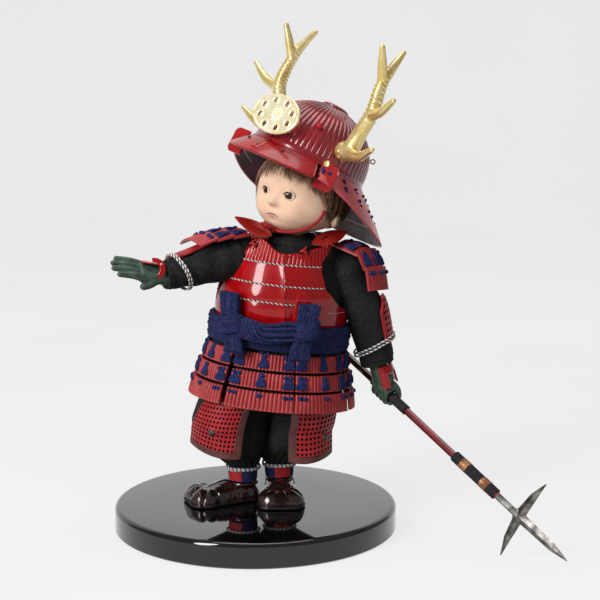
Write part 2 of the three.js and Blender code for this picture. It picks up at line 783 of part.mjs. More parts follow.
for (const side of SIDES) {
  const { ankle, turn } = FEET[side];
  const worn = shoe().rotateZ(turn).translate(ankle.x, ankle.y, shoeFoot);
  const cuffLow = vec(ankle.x, ankle.y, cuffFoot);
  const cuffHigh = vec(ankle.x, ankle.y, cuffFoot + CUFF_HEIGHT);
  const cuff = rod(cuffLow, cuffHigh, CUFF_RADIUS, ROUND_SIDES);
  const cordRing = ringOf(CUFF_RADIUS + GAP + ANKLE_CORD_RADIUS, ANKLE_CORD_RADIUS)
    .translate(ankle.x, ankle.y, cuffFoot + ANKLE_CORD_HEIGHT);
  piece(`${side}_foot_peg`, pegAt(side, 0), 'wood', root);
  piece(`${side}_shoe`, cut(worn, pegAt(side, GAP)), 'leather_brown', root);
  piece(`${side}_ankle_cuff`, cut(cuff, pegAt(side, GAP)), 'cloth_navy', root);
  piece(`${side}_ankle_cord`, cordRing, 'cord_braid', root);
  piece(`${side}_trouser_leg`, trouserLeg(side), 'cloth_black', root);
  piece(`${side}_thigh_guard`, thighGuard(side), 'lacquer_red', root);
}

// Torso and body armour
const chestSections = [
  ...TORSO_SECTIONS.filter(([z]) => z <= ARMOUR_BLEND_Z),
  ARMOUR_TOP_SECTION,
];

function chestPoint(angle, z, offset) {
  const [, wide, deep, shift] = sectionAt(chestSections, z);
  return vec(shift + (wide + offset) * Math.sin(angle), -(deep + offset) * Math.cos(angle), z);
}

function torsoSolid(extra) {
  const rings = TORSO_SECTIONS.map(([z, wide, deep, shift], i) => circle(TORSO_SIDES, (a) => vec(
    shift + (wide + extra) * Math.cos(a),
    (deep + extra) * Math.sin(a),
    i === 0 ? GAP / 2 - extra : z + (i === TORSO_SECTIONS.length - 1 ? extra : 0),
  )));
  return loft(rings);
}

const openingAt = (front, z) => sectionAt(front ? FRONT_OPENING : BACK_OPENING, z).slice(1).map(rad);
const sideSlit = GAP / (2 * TORSO_SECTIONS[0][1]); // half the gap between front and back, as an angle

function armourHalf(front, wall, spare) {
  const surface = (offset) => (u, v) => {
    const share = 2 * u - 1;
    const dip = front ? NECKLINE_DROP * Math.cos((share * Math.PI) / 2) ** 2 : 0;
    const z = lerp(ARMOUR_BOTTOM_Z - spare, ARMOUR_STRAP_Z - dip + spare, v);
    const reach = spare / TORSO_SECTIONS[0][1] - sideSlit;
    const [right, left] = openingAt(front, z);
    const angle = lerp(-right - reach, left + reach, u);
    const rise = front ? THREE.MathUtils.smoothstep(z, ...RIDGE_FOOT_Z) : 0;
    const ridge = rise * RIDGE_HEIGHT * Math.exp(-(((angle - RIDGE_ANGLE) / RIDGE_SPREAD) ** 2));
    return chestPoint(front ? angle : Math.PI + angle, z, offset + (offset > ARMOUR_CLEARANCE ? ridge : 0));
  };
  const outer = surface(ARMOUR_CLEARANCE + wall + spare);
  return plate(outer, surface(ARMOUR_CLEARANCE - spare), ...GRID_STEPS.armour);
}

function strap(outward, spare) {
  const x = outward * STRAP_X;
  const start = ARMOUR_STRAP_Z + GAP;
  const line = [
    vec(x, STRAP_FRONT_Y, start),
    vec(x, STRAP_FRONT_Y * STRAP_BEND[0], lerp(start, STRAP_TOP_Z, STRAP_BEND[1])),
    vec(x, 0, STRAP_TOP_Z),
    vec(x, STRAP_BACK_Y * STRAP_BEND[0], lerp(start, STRAP_TOP_Z, STRAP_BEND[1])),
    vec(x, STRAP_BACK_Y, start),
  ];
  return band(line, vec(1, 0, 0), STRAP_WIDTH + 2 * spare, STRAP_WALL + 2 * spare, STRAP_STEPS);
}

function leaf(outward) {
  const shape = new THREE.Shape();
  const bellyX = LEAF_HALF_LENGTH * LEAF_BELLY[0];
  const bellyY = LEAF_HALF_WIDTH * LEAF_BELLY[1];
  shape.moveTo(-LEAF_HALF_LENGTH, 0);
  shape.quadraticCurveTo(bellyX, bellyY, LEAF_HALF_LENGTH, 0);
  shape.quadraticCurveTo(bellyX, -bellyY, -LEAF_HALF_LENGTH, 0);
  const settings = { depth: LEAF_WALL, bevelEnabled: false, curveSegments: LEAF_STEPS };
  const flat = new THREE.ExtrudeGeometry(shape, settings);
  const alongLeaf = vec(outward * LEAF_ALONG.x, LEAF_ALONG.y, LEAF_ALONG.z);
  const face = vec(outward * LEAF_FACE.x, LEAF_FACE.y, LEAF_FACE.z);
  const acrossLeaf = face.clone().cross(alongLeaf).normalize();
  const pose = new THREE.Matrix4().makeBasis(alongLeaf, acrossLeaf, face);
  pose.setPosition(outward * LEAF_CENTRE.x, LEAF_CENTRE.y, LEAF_CENTRE.z);
  return flat.applyMatrix4(pose);
}

// Neck peg, which turns in the torso
const pegTop = vec(0, 0, NECK_PEG_UP);
const pegLow = vec(0, 0, -NECK_PEG_DOWN);
const neckPeg = rod(pegLow, pegTop, NECK_PEG_RADIUS, ROUND_SIDES);
const boreFoot = vec(0, 0, -NECK_PEG_DOWN - GAP);
const neckBore = rod(boreFoot, vec(0, 0, FAR), NECK_PEG_RADIUS + RUNNING_GAP, ROUND_SIDES);

// Arms
function armFrame(arm, t) {
  const curve = new THREE.CatmullRomCurve3(arm.line);
  const centre = curve.getPoint(t);
  const forward = curve.getTangent(t);
  const face = arm.face.clone().addScaledVector(forward, -arm.face.dot(forward)).normalize();
  const aside = forward.clone().cross(face);
  return { centre, forward, face, aside, radius: along(arm.radii, t) };
}

function armPoint(arm, t, angle, offset) {
  const f = armFrame(arm, t);
  return f.centre.clone()
    .addScaledVector(f.face, (f.radius + offset) * Math.cos(angle))
    .addScaledVector(f.aside, (f.radius + offset) * Math.sin(angle));
}

function armLine(arm, from, to, steps) {
  const curve = new THREE.CatmullRomCurve3(arm.line);
  return Array.from({ length: steps + 1 }, (_, i) => curve.getPoint(lerp(from, to, i / steps)));
}

function armWire(side, extra) {
  const arm = ARMS[side];
  const line = armLine(arm, 0, 1, arm.line.length);
  const first = armFrame(arm, 0);
  const last = armFrame(arm, 1);
  const start = first.centre.clone().addScaledVector(first.forward, -WIRE_PULL - extra);
  const end = last.centre.clone().addScaledVector(last.forward, WIRE_PULL + extra);
  const radius = WIRE_RADIUS + extra;
  return taperedTube([start, ...line, end], [radius, radius], SMALL_SIDES, WIRE_STEPS);
}

function sleeve(side) {
  const arm = ARMS[side];
  const rings = [];
  for (let r = 0; r <= SLEEVE_STEPS; r++) {
    rings.push(circle(SLEEVE_SIDES, (a) => armPoint(arm, r / SLEEVE_STEPS, a, 0)));
  }
  const outward = side === 'left' ? 1 : -1;
  return cut(
    loft(rings),
    torsoSolid(GAP),
    armourHalf(true, ARMOUR_WALL, GAP),
    armourHalf(false, ARMOUR_WALL, GAP),
    strap(outward, GAP),
    sashRing(GAP),
    armWire(side, GAP),
  );
}

function forearmGuard(arm) {
  const [low, high] = FOREARM_GUARD_REACH;
  const surface = (lift) => (u, v) => {
    const angle = lerp(-FOREARM_GUARD_SPAN, FOREARM_GUARD_SPAN, u);
    return armPoint(arm, lerp(low, high, v), angle, lift);
  };
  return plate(surface(GAP + FOREARM_GUARD_WALL), surface(GAP), ...GRID_STEPS.forearm);
}

function shoulderGuard(side) {
  const { edges, across, width } = SHOULDER_GUARDS[side];
  const rows = [];
  for (let i = 0; i + 1 < edges.length; i++) {
    const fall = edges[i + 1].clone().sub(edges[i]);
    const normal = across.clone().cross(fall).normalize();
    const surface = (lift) => (u, v) => {
      const share = 2 * u - 1;
      const start = i === 0 ? 0 : -SHOULDER_GUARD_LAP;
      return edges[i].clone()
        .addScaledVector(fall, lerp(start, 1, v))
        .addScaledVector(across, (share * width) / 2)
        .addScaledVector(normal, lift + i * SHOULDER_GUARD_STEP - SHOULDER_GUARD_BEND * share ** 2);
    };
    rows.push(plate(surface(SHOULDER_GUARD_WALL), surface(0), ...GRID_STEPS.shoulder));
  }
  return join(...rows);
}

function wristCord(side) {
  const arm = ARMS[side];
  const frame = armFrame(arm, WRIST_CORD_PLACE);
  const wide = armFrame(arm, WRIST_CORD_PLACE - WRIST_CORD_REACH).radius;
  const pose = new THREE.Matrix4().makeBasis(frame.face, frame.aside, frame.forward);
  pose.setPosition(frame.centre);
  return ringOf(wide + GAP + WRIST_CORD_RADIUS, WRIST_CORD_RADIUS).applyMatrix4(pose);
}

// Right hand, open
function openHand() {
  const reach = RIGHT_KNUCKLES.clone().sub(RIGHT_WRIST);
  const middle = RIGHT_WRIST.clone().add(RIGHT_KNUCKLES).divideScalar(2);
  const palmLine = [RIGHT_WRIST, middle, RIGHT_KNUCKLES];
  const palm = band(palmLine, RIGHT_HAND_ACROSS, PALM_WIDTH, PALM_THICKNESS, PALM_STEPS);
  const fingers = FINGER_SPREAD.map((place) => {
    const knuckle = RIGHT_KNUCKLES.clone().addScaledVector(RIGHT_HAND_ACROSS, place * FINGER_PITCH)
      .addScaledVector(reach, -KNUCKLE_SINK);
    const tip = RIGHT_FINGERTIPS.clone().addScaledVector(RIGHT_HAND_ACROSS, place * FINGER_FAN);
    const bend = knuckle.clone().add(tip).divideScalar(2);
    return taperedTube([knuckle, bend, tip], FINGER_RADII, FINGER_SIDES, FINGER_STEPS);
  });
  const thumb = taperedTube(RIGHT_THUMB, FINGER_RADII, FINGER_SIDES, FINGER_STEPS);
  return join(palm, ...fingers, thumb);
}

// Left hand, closed round the shaft
const gripAxis = (from, to, radius, sides) => rod(
  SPEAR_GRIP.clone().addScaledVector(SPEAR_AIM, from),
  SPEAR_GRIP.clone().addScaledVector(SPEAR_AIM, to),
  radius,
  sides,
);
const wrapRadius = SHAFT_RADIUS + GRIP_WRAP_WALL + GAP;
function fist() {
  const wrist = armFrame(ARMS.left, 1);
  const down = SPEAR_GRIP.clone().sub(wrist.centre).normalize();
  const side = down.clone().cross(wrist.face).normalize();
  const front = side.clone().cross(down);
  const rings = FIST_SECTIONS.map(([place, radius]) => circle(FIST_SIDES, (a) => SPEAR_GRIP.clone()
    .addScaledVector(down, place)
    .addScaledVector(side, radius * Math.cos(a))
    .addScaledVector(front, FIST_FLATNESS * radius * Math.sin(a))));
  return loft(rings);
}

const torsoCore = cut(
  torsoSolid(0),
  moved(neckBore, neck, torso),
  armWire('right', GAP),
  armWire('left', GAP),
);
piece('torso_core', torsoCore, 'cloth_black', torso);
piece('cuirass_front', armourHalf(true, ARMOUR_WALL, 0), 'lacquer_red', torso);
piece('cuirass_back', armourHalf(false, ARMOUR_WALL, 0), 'lacquer_red', torso);

for (const side of SIDES) {
  const outward = side === 'left' ? 1 : -1;
  piece(`${side}_shoulder_strap`, strap(outward, 0), 'lacquer_red', torso);
  piece(`${side}_leaf_plate`, leaf(outward), 'lacquer_red', torso);
  piece(`${side}_arm_wire`, armWire(side, 0), 'steel', torso);
  piece(`${side}_sleeve`, sleeve(side), 'cloth_black', torso);
  piece(`${side}_shoulder_guard`, shoulderGuard(side), 'lacquer_red', torso);
  piece(`${side}_forearm_guard`, forearmGuard(ARMS[side]), 'lacquer_red', torso);
  piece(`${side}_wrist_cord`, wristCord(side), 'cord_braid', torso);
}

const sleeveEnd = (side) => {
  const f = armFrame(ARMS[side], 1);
  return beyond(f.centre.clone().addScaledVector(f.forward, GAP), f.forward.clone().negate());
};
const rightHand = cut(openHand(), sleeveEnd('right'), armWire('right', GAP));
const fistBore = gripAxis(-FAR / 4, FAR / 4, wrapRadius + RUNNING_GAP, ROUND_SIDES);
const leftHand = cut(fist(), sleeveEnd('left'), armWire('left', GAP), fistBore);
piece('right_hand', rightHand, 'glove_green', torso);
piece('left_hand', leftHand, 'glove_green', torso);

// Hand guards, a curved plate on the back of each hand
function openHandGuard() {
  const reach = RIGHT_KNUCKLES.clone().sub(RIGHT_WRIST);
  const back = reach.clone().cross(RIGHT_HAND_ACROSS).normalize();
  const lift = PALM_THICKNESS / 2 + GAP + HAND_GUARD_WALL / 2;
  const line = HAND_GUARD_PLACES.map((share) => RIGHT_WRIST.clone().addScaledVector(reach, share)
    .addScaledVector(back, lift));
  return band(line, RIGHT_HAND_ACROSS, PALM_WIDTH, HAND_GUARD_WALL, PALM_STEPS);
}

function fistGuard() {
  const wrist = armFrame(ARMS.left, 1);
  const down = SPEAR_GRIP.clone().sub(wrist.centre).normalize();
  const side = down.clone().cross(wrist.face).normalize();
  const front = side.clone().cross(down);
  const surface = (offset) => (u, v) => {
    const place = lerp(FIST_GUARD_REACH[0], FIST_GUARD_REACH[1], v);
    const radius = sectionAt(FIST_SECTIONS, place)[1] + offset;
    const angle = lerp(-FIST_GUARD_SPAN, FIST_GUARD_SPAN, u);
    return SPEAR_GRIP.clone()
      .addScaledVector(down, place)
      .addScaledVector(side, radius * Math.sin(angle))
      .addScaledVector(front, (FIST_FLATNESS * radius + GAP) * Math.cos(angle));
  };
  return plate(surface(2 * GAP + HAND_GUARD_WALL), surface(2 * GAP), ...GRID_STEPS.fist);
}
piece('right_hand_guard', openHandGuard(), 'lacquer_red', torso);
piece('left_hand_guard', fistGuard(), 'lacquer_red', torso);

// Sash and its bow
function sashRing(spare) {
  const surface = (offset) => (u, v) => {
    const z = lerp(SASH_BOTTOM_Z - spare, SASH_TOP_Z + spare, v);
    return chestPoint(2 * Math.PI * u, Math.max(z, ARMOUR_BOTTOM_Z), offset).setZ(z);
  };
  const inside = ARMOUR_CLEARANCE + ARMOUR_WALL + 2 * GAP;
  return plate(surface(inside + SASH_WALL + spare), surface(inside - spare), ...GRID_STEPS.sash, true);
}

function sashBow() {
  const ropeThickness = BOW_THICKNESS + BOW_ROPE_EXTRA;
  const parts = [band(BOW_ROPE_LINE, vec(0, 0, 1), BOW_ROPE_HEIGHT, ropeThickness, 2 * BOW_STEPS)];
  for (const { middle, loop, end, across } of BOW_KNOTS) {
    parts.push(band([middle, ...loop], across, BOW_WIDTH, BOW_THICKNESS, BOW_STEPS));
    parts.push(band([middle, ...end], across, BOW_WIDTH, BOW_THICKNESS, BOW_STEPS));
  }
  return cut(join(...parts), sashRing(GAP));
}
piece('waist_sash', sashRing(0), 'cloth_navy', torso);
piece('sash_bow', sashBow(), 'cloth_navy', torso);

// Skirt panels, three laced rows each
function panelRow(from, to, row) {
  const top = PANEL_TOP_Z - row * PANEL_ROW_HEIGHT + (row === 0 ? 0 : PANEL_ROW_LAP);
  const bottom = PANEL_TOP_Z - (row + 1) * PANEL_ROW_HEIGHT;
  const base = 2 * GAP + row * PANEL_STEP;
  const surface = (offset) => (u, v) => {
    const z = lerp(bottom, top, v);
    const grown = PANEL_FLARE * (PANEL_TOP_Z - z) + base + offset;
    const angle = lerp(from, to, u);
    const [, wide, deep] = TORSO_SECTIONS[0];
    return vec((wide + grown) * Math.sin(angle), -(deep + grown) * Math.cos(angle), z);
  };
  return plate(surface(PANEL_WALL), surface(0), ...GRID_STEPS.panel);
}

PANEL_NAMES.forEach((name, i) => {
  const pitch = (2 * Math.PI) / PANEL_COUNT;
  const from = PANEL_SEAM + i * pitch + PANEL_GAP / 2;
  const to = PANEL_SEAM + (i + 1) * pitch - PANEL_GAP / 2;
  const rows = Array.from({ length: PANEL_ROW_COUNT }, (_, row) => panelRow(from, to, row));
  piece(`skirt_panel_${name}`, join(...rows), 'lacquer_red', torso);
});

// Spear
{
  const aim = new THREE.Quaternion().setFromUnitVectors(vec(0, 0, 1), SPEAR_AIM);
  const grip = SPEAR_GRIP;
  const place = (geometry) => geometry.applyQuaternion(aim).translate(grip.x, grip.y, grip.z);
  const upright = (from, to, radius, sides) => rod(vec(0, 0, from), vec(0, 0, to), radius, sides);
  const wrap = (ends, wall) => cut(
    upright(ends[0], ends[1], SHAFT_RADIUS + GAP + wall, ROUND_SIDES),
    upright(ends[0] - GAP, ends[1] + GAP, SHAFT_RADIUS + GAP, ROUND_SIDES),
  );
  const diamond = (at, along3, across3, half, thick) => [
    at.clone().addScaledVector(across3, half),
    at.clone().addScaledVector(along3, thick),
    at.clone().addScaledVector(across3, -half),
    at.clone().addScaledVector(along3, -thick),
  ];
  const across = vec(Math.cos(BLADE_ROLL), Math.sin(BLADE_ROLL), 0);
  const flat = vec(-Math.sin(BLADE_ROLL), Math.cos(BLADE_ROLL), 0);
  const shaftEnd = SHAFT_HEAD + GAP;
  const bladeCross = SHAFT_HEAD + BLADE_STEM;
  const bladeTip = bladeCross + BLADE_POINT;
  const headWrapTop = SHAFT_HEAD - HEAD_WRAP_BACK;
  const headWrapEnds = [headWrapTop - HEAD_WRAP_LENGTH, headWrapTop];
  const stem = upright(shaftEnd, bladeCross, BLADE_NECK_RADIUS, SMALL_SIDES);
  const [tipWidth, tipThickness] = BLADE_EDGE;
  const waist = BLADE_WAIST;
  const heelAt = vec(0, 0, bladeCross - BLADE_HEEL);
  const waistAt = vec(0, 0, lerp(bladeCross, bladeTip, waist.place));
  const waistWidth = BLADE_HALF_WIDTH * waist.width;
  const waistThickness = BLADE_HALF_THICKNESS * waist.thickness;
  const point = loft([
    diamond(heelAt, flat, across, BLADE_HALF_WIDTH, BLADE_HALF_THICKNESS),
    diamond(waistAt, flat, across, waistWidth, waistThickness),
    diamond(vec(0, 0, bladeTip), flat, across, tipWidth, tipThickness),
  ]);
  const wings = [-1, 1].map((way) => loft(SIDE_BLADE_PLACES.map((share) => diamond(
    vec(0, 0, bladeCross + SIDE_BLADE_SWEEP * share * share)
      .addScaledVector(across, way * share * SIDE_BLADE_LENGTH),
    flat,
    vec(0, 0, 1),
    lerp(BLADE_HALF_WIDTH, tipWidth, share ** 2),
    lerp(BLADE_HALF_THICKNESS, tipThickness, share ** 2),
  ))));
  const shaft = upright(SHAFT_BUTT, SHAFT_HEAD, SHAFT_RADIUS, SHAFT_SIDES);
  piece('spear_shaft', place(shaft), 'lacquer_red', torso);
  piece('spear_blade', place(join(stem, point, ...wings)), 'steel', torso);
  piece('grip_wrap', place(wrap(GRIP_WRAP_ENDS, GRIP_WRAP_WALL)), 'cloth_black', torso);
  piece('head_wrap', place(wrap(headWrapEnds, HEAD_WRAP_WALL)), 'cloth_black', torso);
}

// Head, hair and chin cord
function headPoint(angle, z, offset) {
  const [, wide, deep, forward] = sectionAt(HEAD_SECTIONS, z);
  return vec((wide + offset) * Math.sin(angle), -forward - (deep + offset) * Math.cos(angle), z);
}

// The head's form, larger all round by an offset
function headGrown(offset) {
  const last = HEAD_SECTIONS.length - 1;
  const rings = HEAD_SECTIONS.map(([z], i) => {
    const lift = (i === last ? offset : 0) - (i === 0 ? offset : 0);
    return circle(HEAD_SIDES, (a) => headPoint(a, z, offset).add(vec(0, 0, lift)));
  });
  return loft(rings);
}

function headSolid() {
  const tip = headPoint(0, NOSE_HEIGHT, 0);
  const nose = new THREE.IcosahedronGeometry(NOSE_RADIUS, 1).translate(tip.x, tip.y, tip.z);
  return join(headGrown(0), nose);
}

const hairlineAt = (angle) => {
  const turn = Math.abs(THREE.MathUtils.radToDeg(Math.atan2(Math.sin(angle), Math.cos(angle))));
  return sectionAt(HAIRLINE, turn)[1];
};

function hairShell() {
  const surface = (offset) => (u, v) => {
    const angle = 2 * Math.PI * u;
    const z = lerp(hairlineAt(angle), HAIR_TOP_Z, v);
    return headPoint(angle, z, offset);
  };
  const shell = plate(surface(GAP + HAIR_WALL), surface(0), ...GRID_STEPS.hair, true);
  return cut(shell, headGrown(GAP));
}

function chinCord() {
  const heights = CHIN_CORD_ROUTE.map(([, z]) => z);
  const low = Math.min(...heights);
  const high = Math.max(...heights);
  const line = CHIN_CORD_ROUTE.map(([turn, z]) => {
    const slack = CHIN_CORD_SLACK * ((high - z) / (high - low));
    return headPoint(rad(turn), z, CHIN_CORD_RADIUS + 2 * GAP + slack);
  });
  const section = new THREE.Shape().absarc(0, 0, CHIN_CORD_RADIUS, 0, 2 * Math.PI);
  return new THREE.ExtrudeGeometry(section, {
    steps: CHIN_CORD_STEPS,
    curveSegments: CHIN_CORD_SIDES,
    bevelEnabled: false,
    extrudePath: new THREE.CatmullRomCurve3(line),
  });
}

const boreHead = vec(0, 0, NECK_PEG_UP + GAP);
const headBore = rod(vec(0, 0, -FAR), boreHead, NECK_PEG_RADIUS + GAP, ROUND_SIDES);
piece('head', cut(headSolid(), headBore), 'skin', neck);
piece('neck_peg', neckPeg, 'wood', neck);
piece('hair', hairShell(), 'hair_brown', neck);
piece('chin_cord', chinCord(), 'cord_red', neck);

// Helmet
function bowlRadius(z, inset) {
  const table = [...BOWL_OUTLINE.map(([r, h]) => [h, r]), [BOWL_HEIGHT, 0]];
  return sectionAt(table, z)[1] - inset;
}

function dome(inset, bottom) {
  const outline = [new THREE.Vector2(0, bottom)];
  for (const [r, h] of BOWL_OUTLINE) {
    if (h >= bottom) {
      outline.push(new THREE.Vector2(r - inset, Math.min(h, BOWL_HEIGHT - inset)));
    } else {
      outline.push(new THREE.Vector2(bowlRadius(bottom, inset), bottom));
    }
  }
  outline.push(new THREE.Vector2(0, BOWL_HEIGHT - inset));
  return new THREE.LatheGeometry(outline, BOWL_SIDES).rotateX(Math.PI / 2);
}

function antlerPin(outward, extra) {
  const away = vec(outward * Math.sin(ANTLER_ANGLE), -Math.cos(ANTLER_ANGLE), 0);
  const skin = bowlRadius(ANTLER_SEAT_Z, 0);
  const from = away.clone().multiplyScalar(skin - ANTLER_PIN_REACH - extra).setZ(ANTLER_SEAT_Z);
  const to = away.clone().multiplyScalar(skin + ANTLER_PIN_OUT).setZ(ANTLER_SEAT_Z);
  return rod(from, to, ANTLER_PIN_RADIUS + extra, SMALL_SIDES);
}

function bowl() {
  const below = beyond(vec(0, 0, 0), vec(0, 0, -1));
  const mouth = rod(vec(0, 0, -GAP), vec(0, 0, GAP), bowlRadius(0, BOWL_WALL), BOWL_SIDES);
  const room = join(dome(BOWL_WALL, 0), mouth);
  return cut(dome(0, 0), room, below, antlerPin(1, GAP), antlerPin(-1, GAP));
}

function crownRing() {
  const foot = BOWL_HEIGHT - CROWN_RING_SINK;
  const head = BOWL_HEIGHT + CROWN_RING_HEIGHT;
  const ring = rod(vec(0, 0, foot), vec(0, 0, head), CROWN_RING_RADIUS, ROUND_SIDES);
  const hole = rod(vec(0, 0, 0), vec(0, 0, FAR), CROWN_HOLE_RADIUS, ROUND_SIDES);
  return cut(ring, hole, dome(-GAP, 0));
}

function peak() {
  const surface = (lift) => (u, v) => {
    const share = 2 * u - 1;
    const angle = PEAK_SPAN * share;
    const reach = lerp(PEAK_REACH, PEAK_END_REACH, share ** 2);
    const radius = bowlRadius(0, 0) + 2 * GAP + v * reach;
    const z = lift - PEAK_WALL - PEAK_DROP * (reach / PEAK_REACH) * v ** PEAK_CURL;
    return vec(radius * Math.sin(angle), -radius * Math.cos(angle), z);
  };
  return plate(surface(PEAK_WALL), surface(0), ...GRID_STEPS.peak);
}

const neckGuardInner = bowlRadius(0, 0) + 2 * GAP;

function neckGuard() {
  const rows = [];
  const half = Math.PI - NECK_GUARD_START;
  for (let i = 0; i < NECK_GUARD_ROW_COUNT; i++) {
    const surface = (lift) => (u, v) => {
      const fromBack = lerp(-half, half, u);
      const fromFront = Math.PI - Math.abs(fromBack);
      const grown = THREE.MathUtils.smoothstep(fromFront, NECK_GUARD_START, NECK_GUARD_FULL);
      const start = i === 0 ? 0 : -NECK_GUARD_LAP;
      const place = (i + lerp(start, 1, v)) * lerp(NECK_GUARD_FRONT_SHARE, 1, grown);
      const radius = neckGuardInner + place * NECK_GUARD_ROW_REACH + i * NECK_GUARD_STEP + lift;
      const angle = Math.PI + fromBack;
      return vec(radius * Math.sin(angle), -radius * Math.cos(angle), -place * NECK_GUARD_ROW_DROP);
    };
    rows.push(plate(surface(NECK_GUARD_WALL), surface(0), ...GRID_STEPS.neckGuard));
  }
  return join(...rows, turnback(1), turnback(-1));
}

// Rounded plate that stands up at each front end of the neck guard
function turnback(outward) {
  const corner = TURNBACK_CORNER;
  const wide = TURNBACK_WIDTH;
  const tall = TURNBACK_HEIGHT;
  const shape = new THREE.Shape();
  shape.moveTo(0, 0);
  shape.lineTo(wide - corner, 0);
  shape.quadraticCurveTo(wide, 0, wide, corner);
  shape.lineTo(wide, tall - corner);
  shape.quadraticCurveTo(wide, tall, wide - corner, tall);
  shape.lineTo(0, tall);
  const settings = { depth: NECK_GUARD_WALL, bevelEnabled: false, curveSegments: CORNER_STEPS };
  const flat = new THREE.ExtrudeGeometry(shape, settings);
  const away = vec(outward * Math.sin(NECK_GUARD_START), -Math.cos(NECK_GUARD_START), 0);
  const back = vec(outward * Math.cos(NECK_GUARD_START), Math.sin(NECK_GUARD_START), 0);
  const up = vec(0, 0, 1);
  const along = away.clone().multiplyScalar(Math.cos(TURNBACK_LEAN));
  along.addScaledVector(back, Math.sin(TURNBACK_LEAN));
  const facing = along.clone().cross(up);
  const foot = away.clone().multiplyScalar(neckGuardInner + TURNBACK_FOOT_REACH).setZ(TURNBACK_FOOT_Z);
  if (facing.dot(back) < 0) {
    foot.addScaledVector(back, NECK_GUARD_WALL);
  }
  return flat.applyMatrix4(new THREE.Matrix4().makeBasis(along, up, facing).setPosition(foot));
}

function antler(outward) {
  const pieces = [
    taperedTube(ANTLER_BEAM, ANTLER_BEAM_RADII, ANTLER_SIDES, ANTLER_STEPS),
    ...ANTLER_TINES.map(({ line, radii }) => taperedTube(line, radii, ANTLER_SIDES, TINE_STEPS)),
  ];
  const skin = bowlRadius(ANTLER_SEAT_Z, 0);
  const seat = [skin * Math.sin(ANTLER_ANGLE), -skin * Math.cos(ANTLER_ANGLE), ANTLER_SEAT_Z];
  const left = cut(join(...pieces).translate(...seat), dome(-GAP, 0));
  const sided = outward > 0 ? left : toGeometry(toSolid(left).scale([-1, 1, 1]));
  return join(sided, antlerPin(outward, 0));
}

const brim = new THREE.Group();
brim.rotation.z = BRIM_TURN;
helmet.add(brim);
const crestFrame = new THREE.Group();
crestFrame.position.set(0, -bowlRadius(0, 0) - 3 * GAP, 0).applyAxisAngle(vec(0, 0, 1), CREST_TURN);
crestFrame.rotation.z = CREST_TURN;
brim.add(crestFrame);
root.updateMatrixWorld(true);
function holder(extra) {
  const sizes = [HOLDER_WIDTH, HOLDER_WALL, HOLDER_HEIGHT].map((size) => size + 2 * extra);
  const box = new THREE.BoxGeometry(...sizes);
  return box.translate(0, -HOLDER_WALL / 2, HOLDER_FOOT_Z + HOLDER_HEIGHT / 2);
}

function crest() {
  const shape = new THREE.Shape().absellipse(0, 0, CREST_HALF_WIDTH, CREST_HALF_HEIGHT, 0, 2 * Math.PI);
  for (let i = 0; i < CREST_HOLE_COUNT; i++) {
    const a = (Math.PI * (2 * i + 1)) / CREST_HOLE_COUNT;
    const x = CREST_HOLE_PLACE * CREST_HALF_WIDTH * Math.cos(a);
    const y = CREST_HOLE_PLACE * CREST_HALF_HEIGHT * Math.sin(a);
    shape.holes.push(new THREE.Path().absarc(x, y, CREST_HOLE_RADIUS, 0, 2 * Math.PI, true));
  }
  const front = -HOLDER_WALL - RUNNING_GAP - CREST_SOCKET_WALL;
  const settings = { depth: CREST_WALL, bevelEnabled: false, curveSegments: CREST_STEPS };
  const disc = new THREE.ExtrudeGeometry(shape, settings)
    .rotateX(Math.PI / 2).translate(0, front + CREST_SOCKET_WALL / 2, CREST_CENTRE_Z);
  const wide = HOLDER_WIDTH + 2 * (RUNNING_GAP + CREST_SOCKET_WALL);
  const deep = HOLDER_WALL + 2 * (RUNNING_GAP + CREST_SOCKET_WALL);
  const tall = HOLDER_HEIGHT - CREST_SOCKET_RAISE;
  const socket = new THREE.BoxGeometry(wide, deep, tall)
    .translate(0, -HOLDER_WALL / 2, HOLDER_FOOT_Z + CREST_SOCKET_RAISE + tall / 2 + CREST_SOCKET_WALL);
  return cut(join(disc, socket), holder(RUNNING_GAP), moved(dome(-GAP, 0), helmet, crestFrame));
}

piece('helmet_bowl', bowl(), 'helmet_red', helmet);
piece('helmet_liner', cut(
  dome(BOWL_WALL + GAP, LINER_BOTTOM_Z),
  moved(headGrown(GAP + HAIR_WALL + GAP), neck, helmet),
  antlerPin(1, GAP),
  antlerPin(-1, GAP),
), 'cloth_black', helmet);
piece('crown_ring', crownRing(), 'helmet_red', helmet);
piece('helmet_peak', peak(), 'helmet_red', brim);
piece('neck_guard', neckGuard(), 'helmet_red', brim);
piece('right_antler', antler(-1), 'gold', helmet);
piece('left_antler', antler(1), 'gold', helmet);
piece('crest_holder', holder(0), 'helmet_red', crestFrame);
piece('front_crest', crest(), 'gold', crestFrame);

export default root;
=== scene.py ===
"""Looks of the samurai festival doll: pieces are built in millimetres and set in the shared frame."""

import json
import math

import bmesh
import bpy
import numpy as np
from mathutils import Matrix, Vector

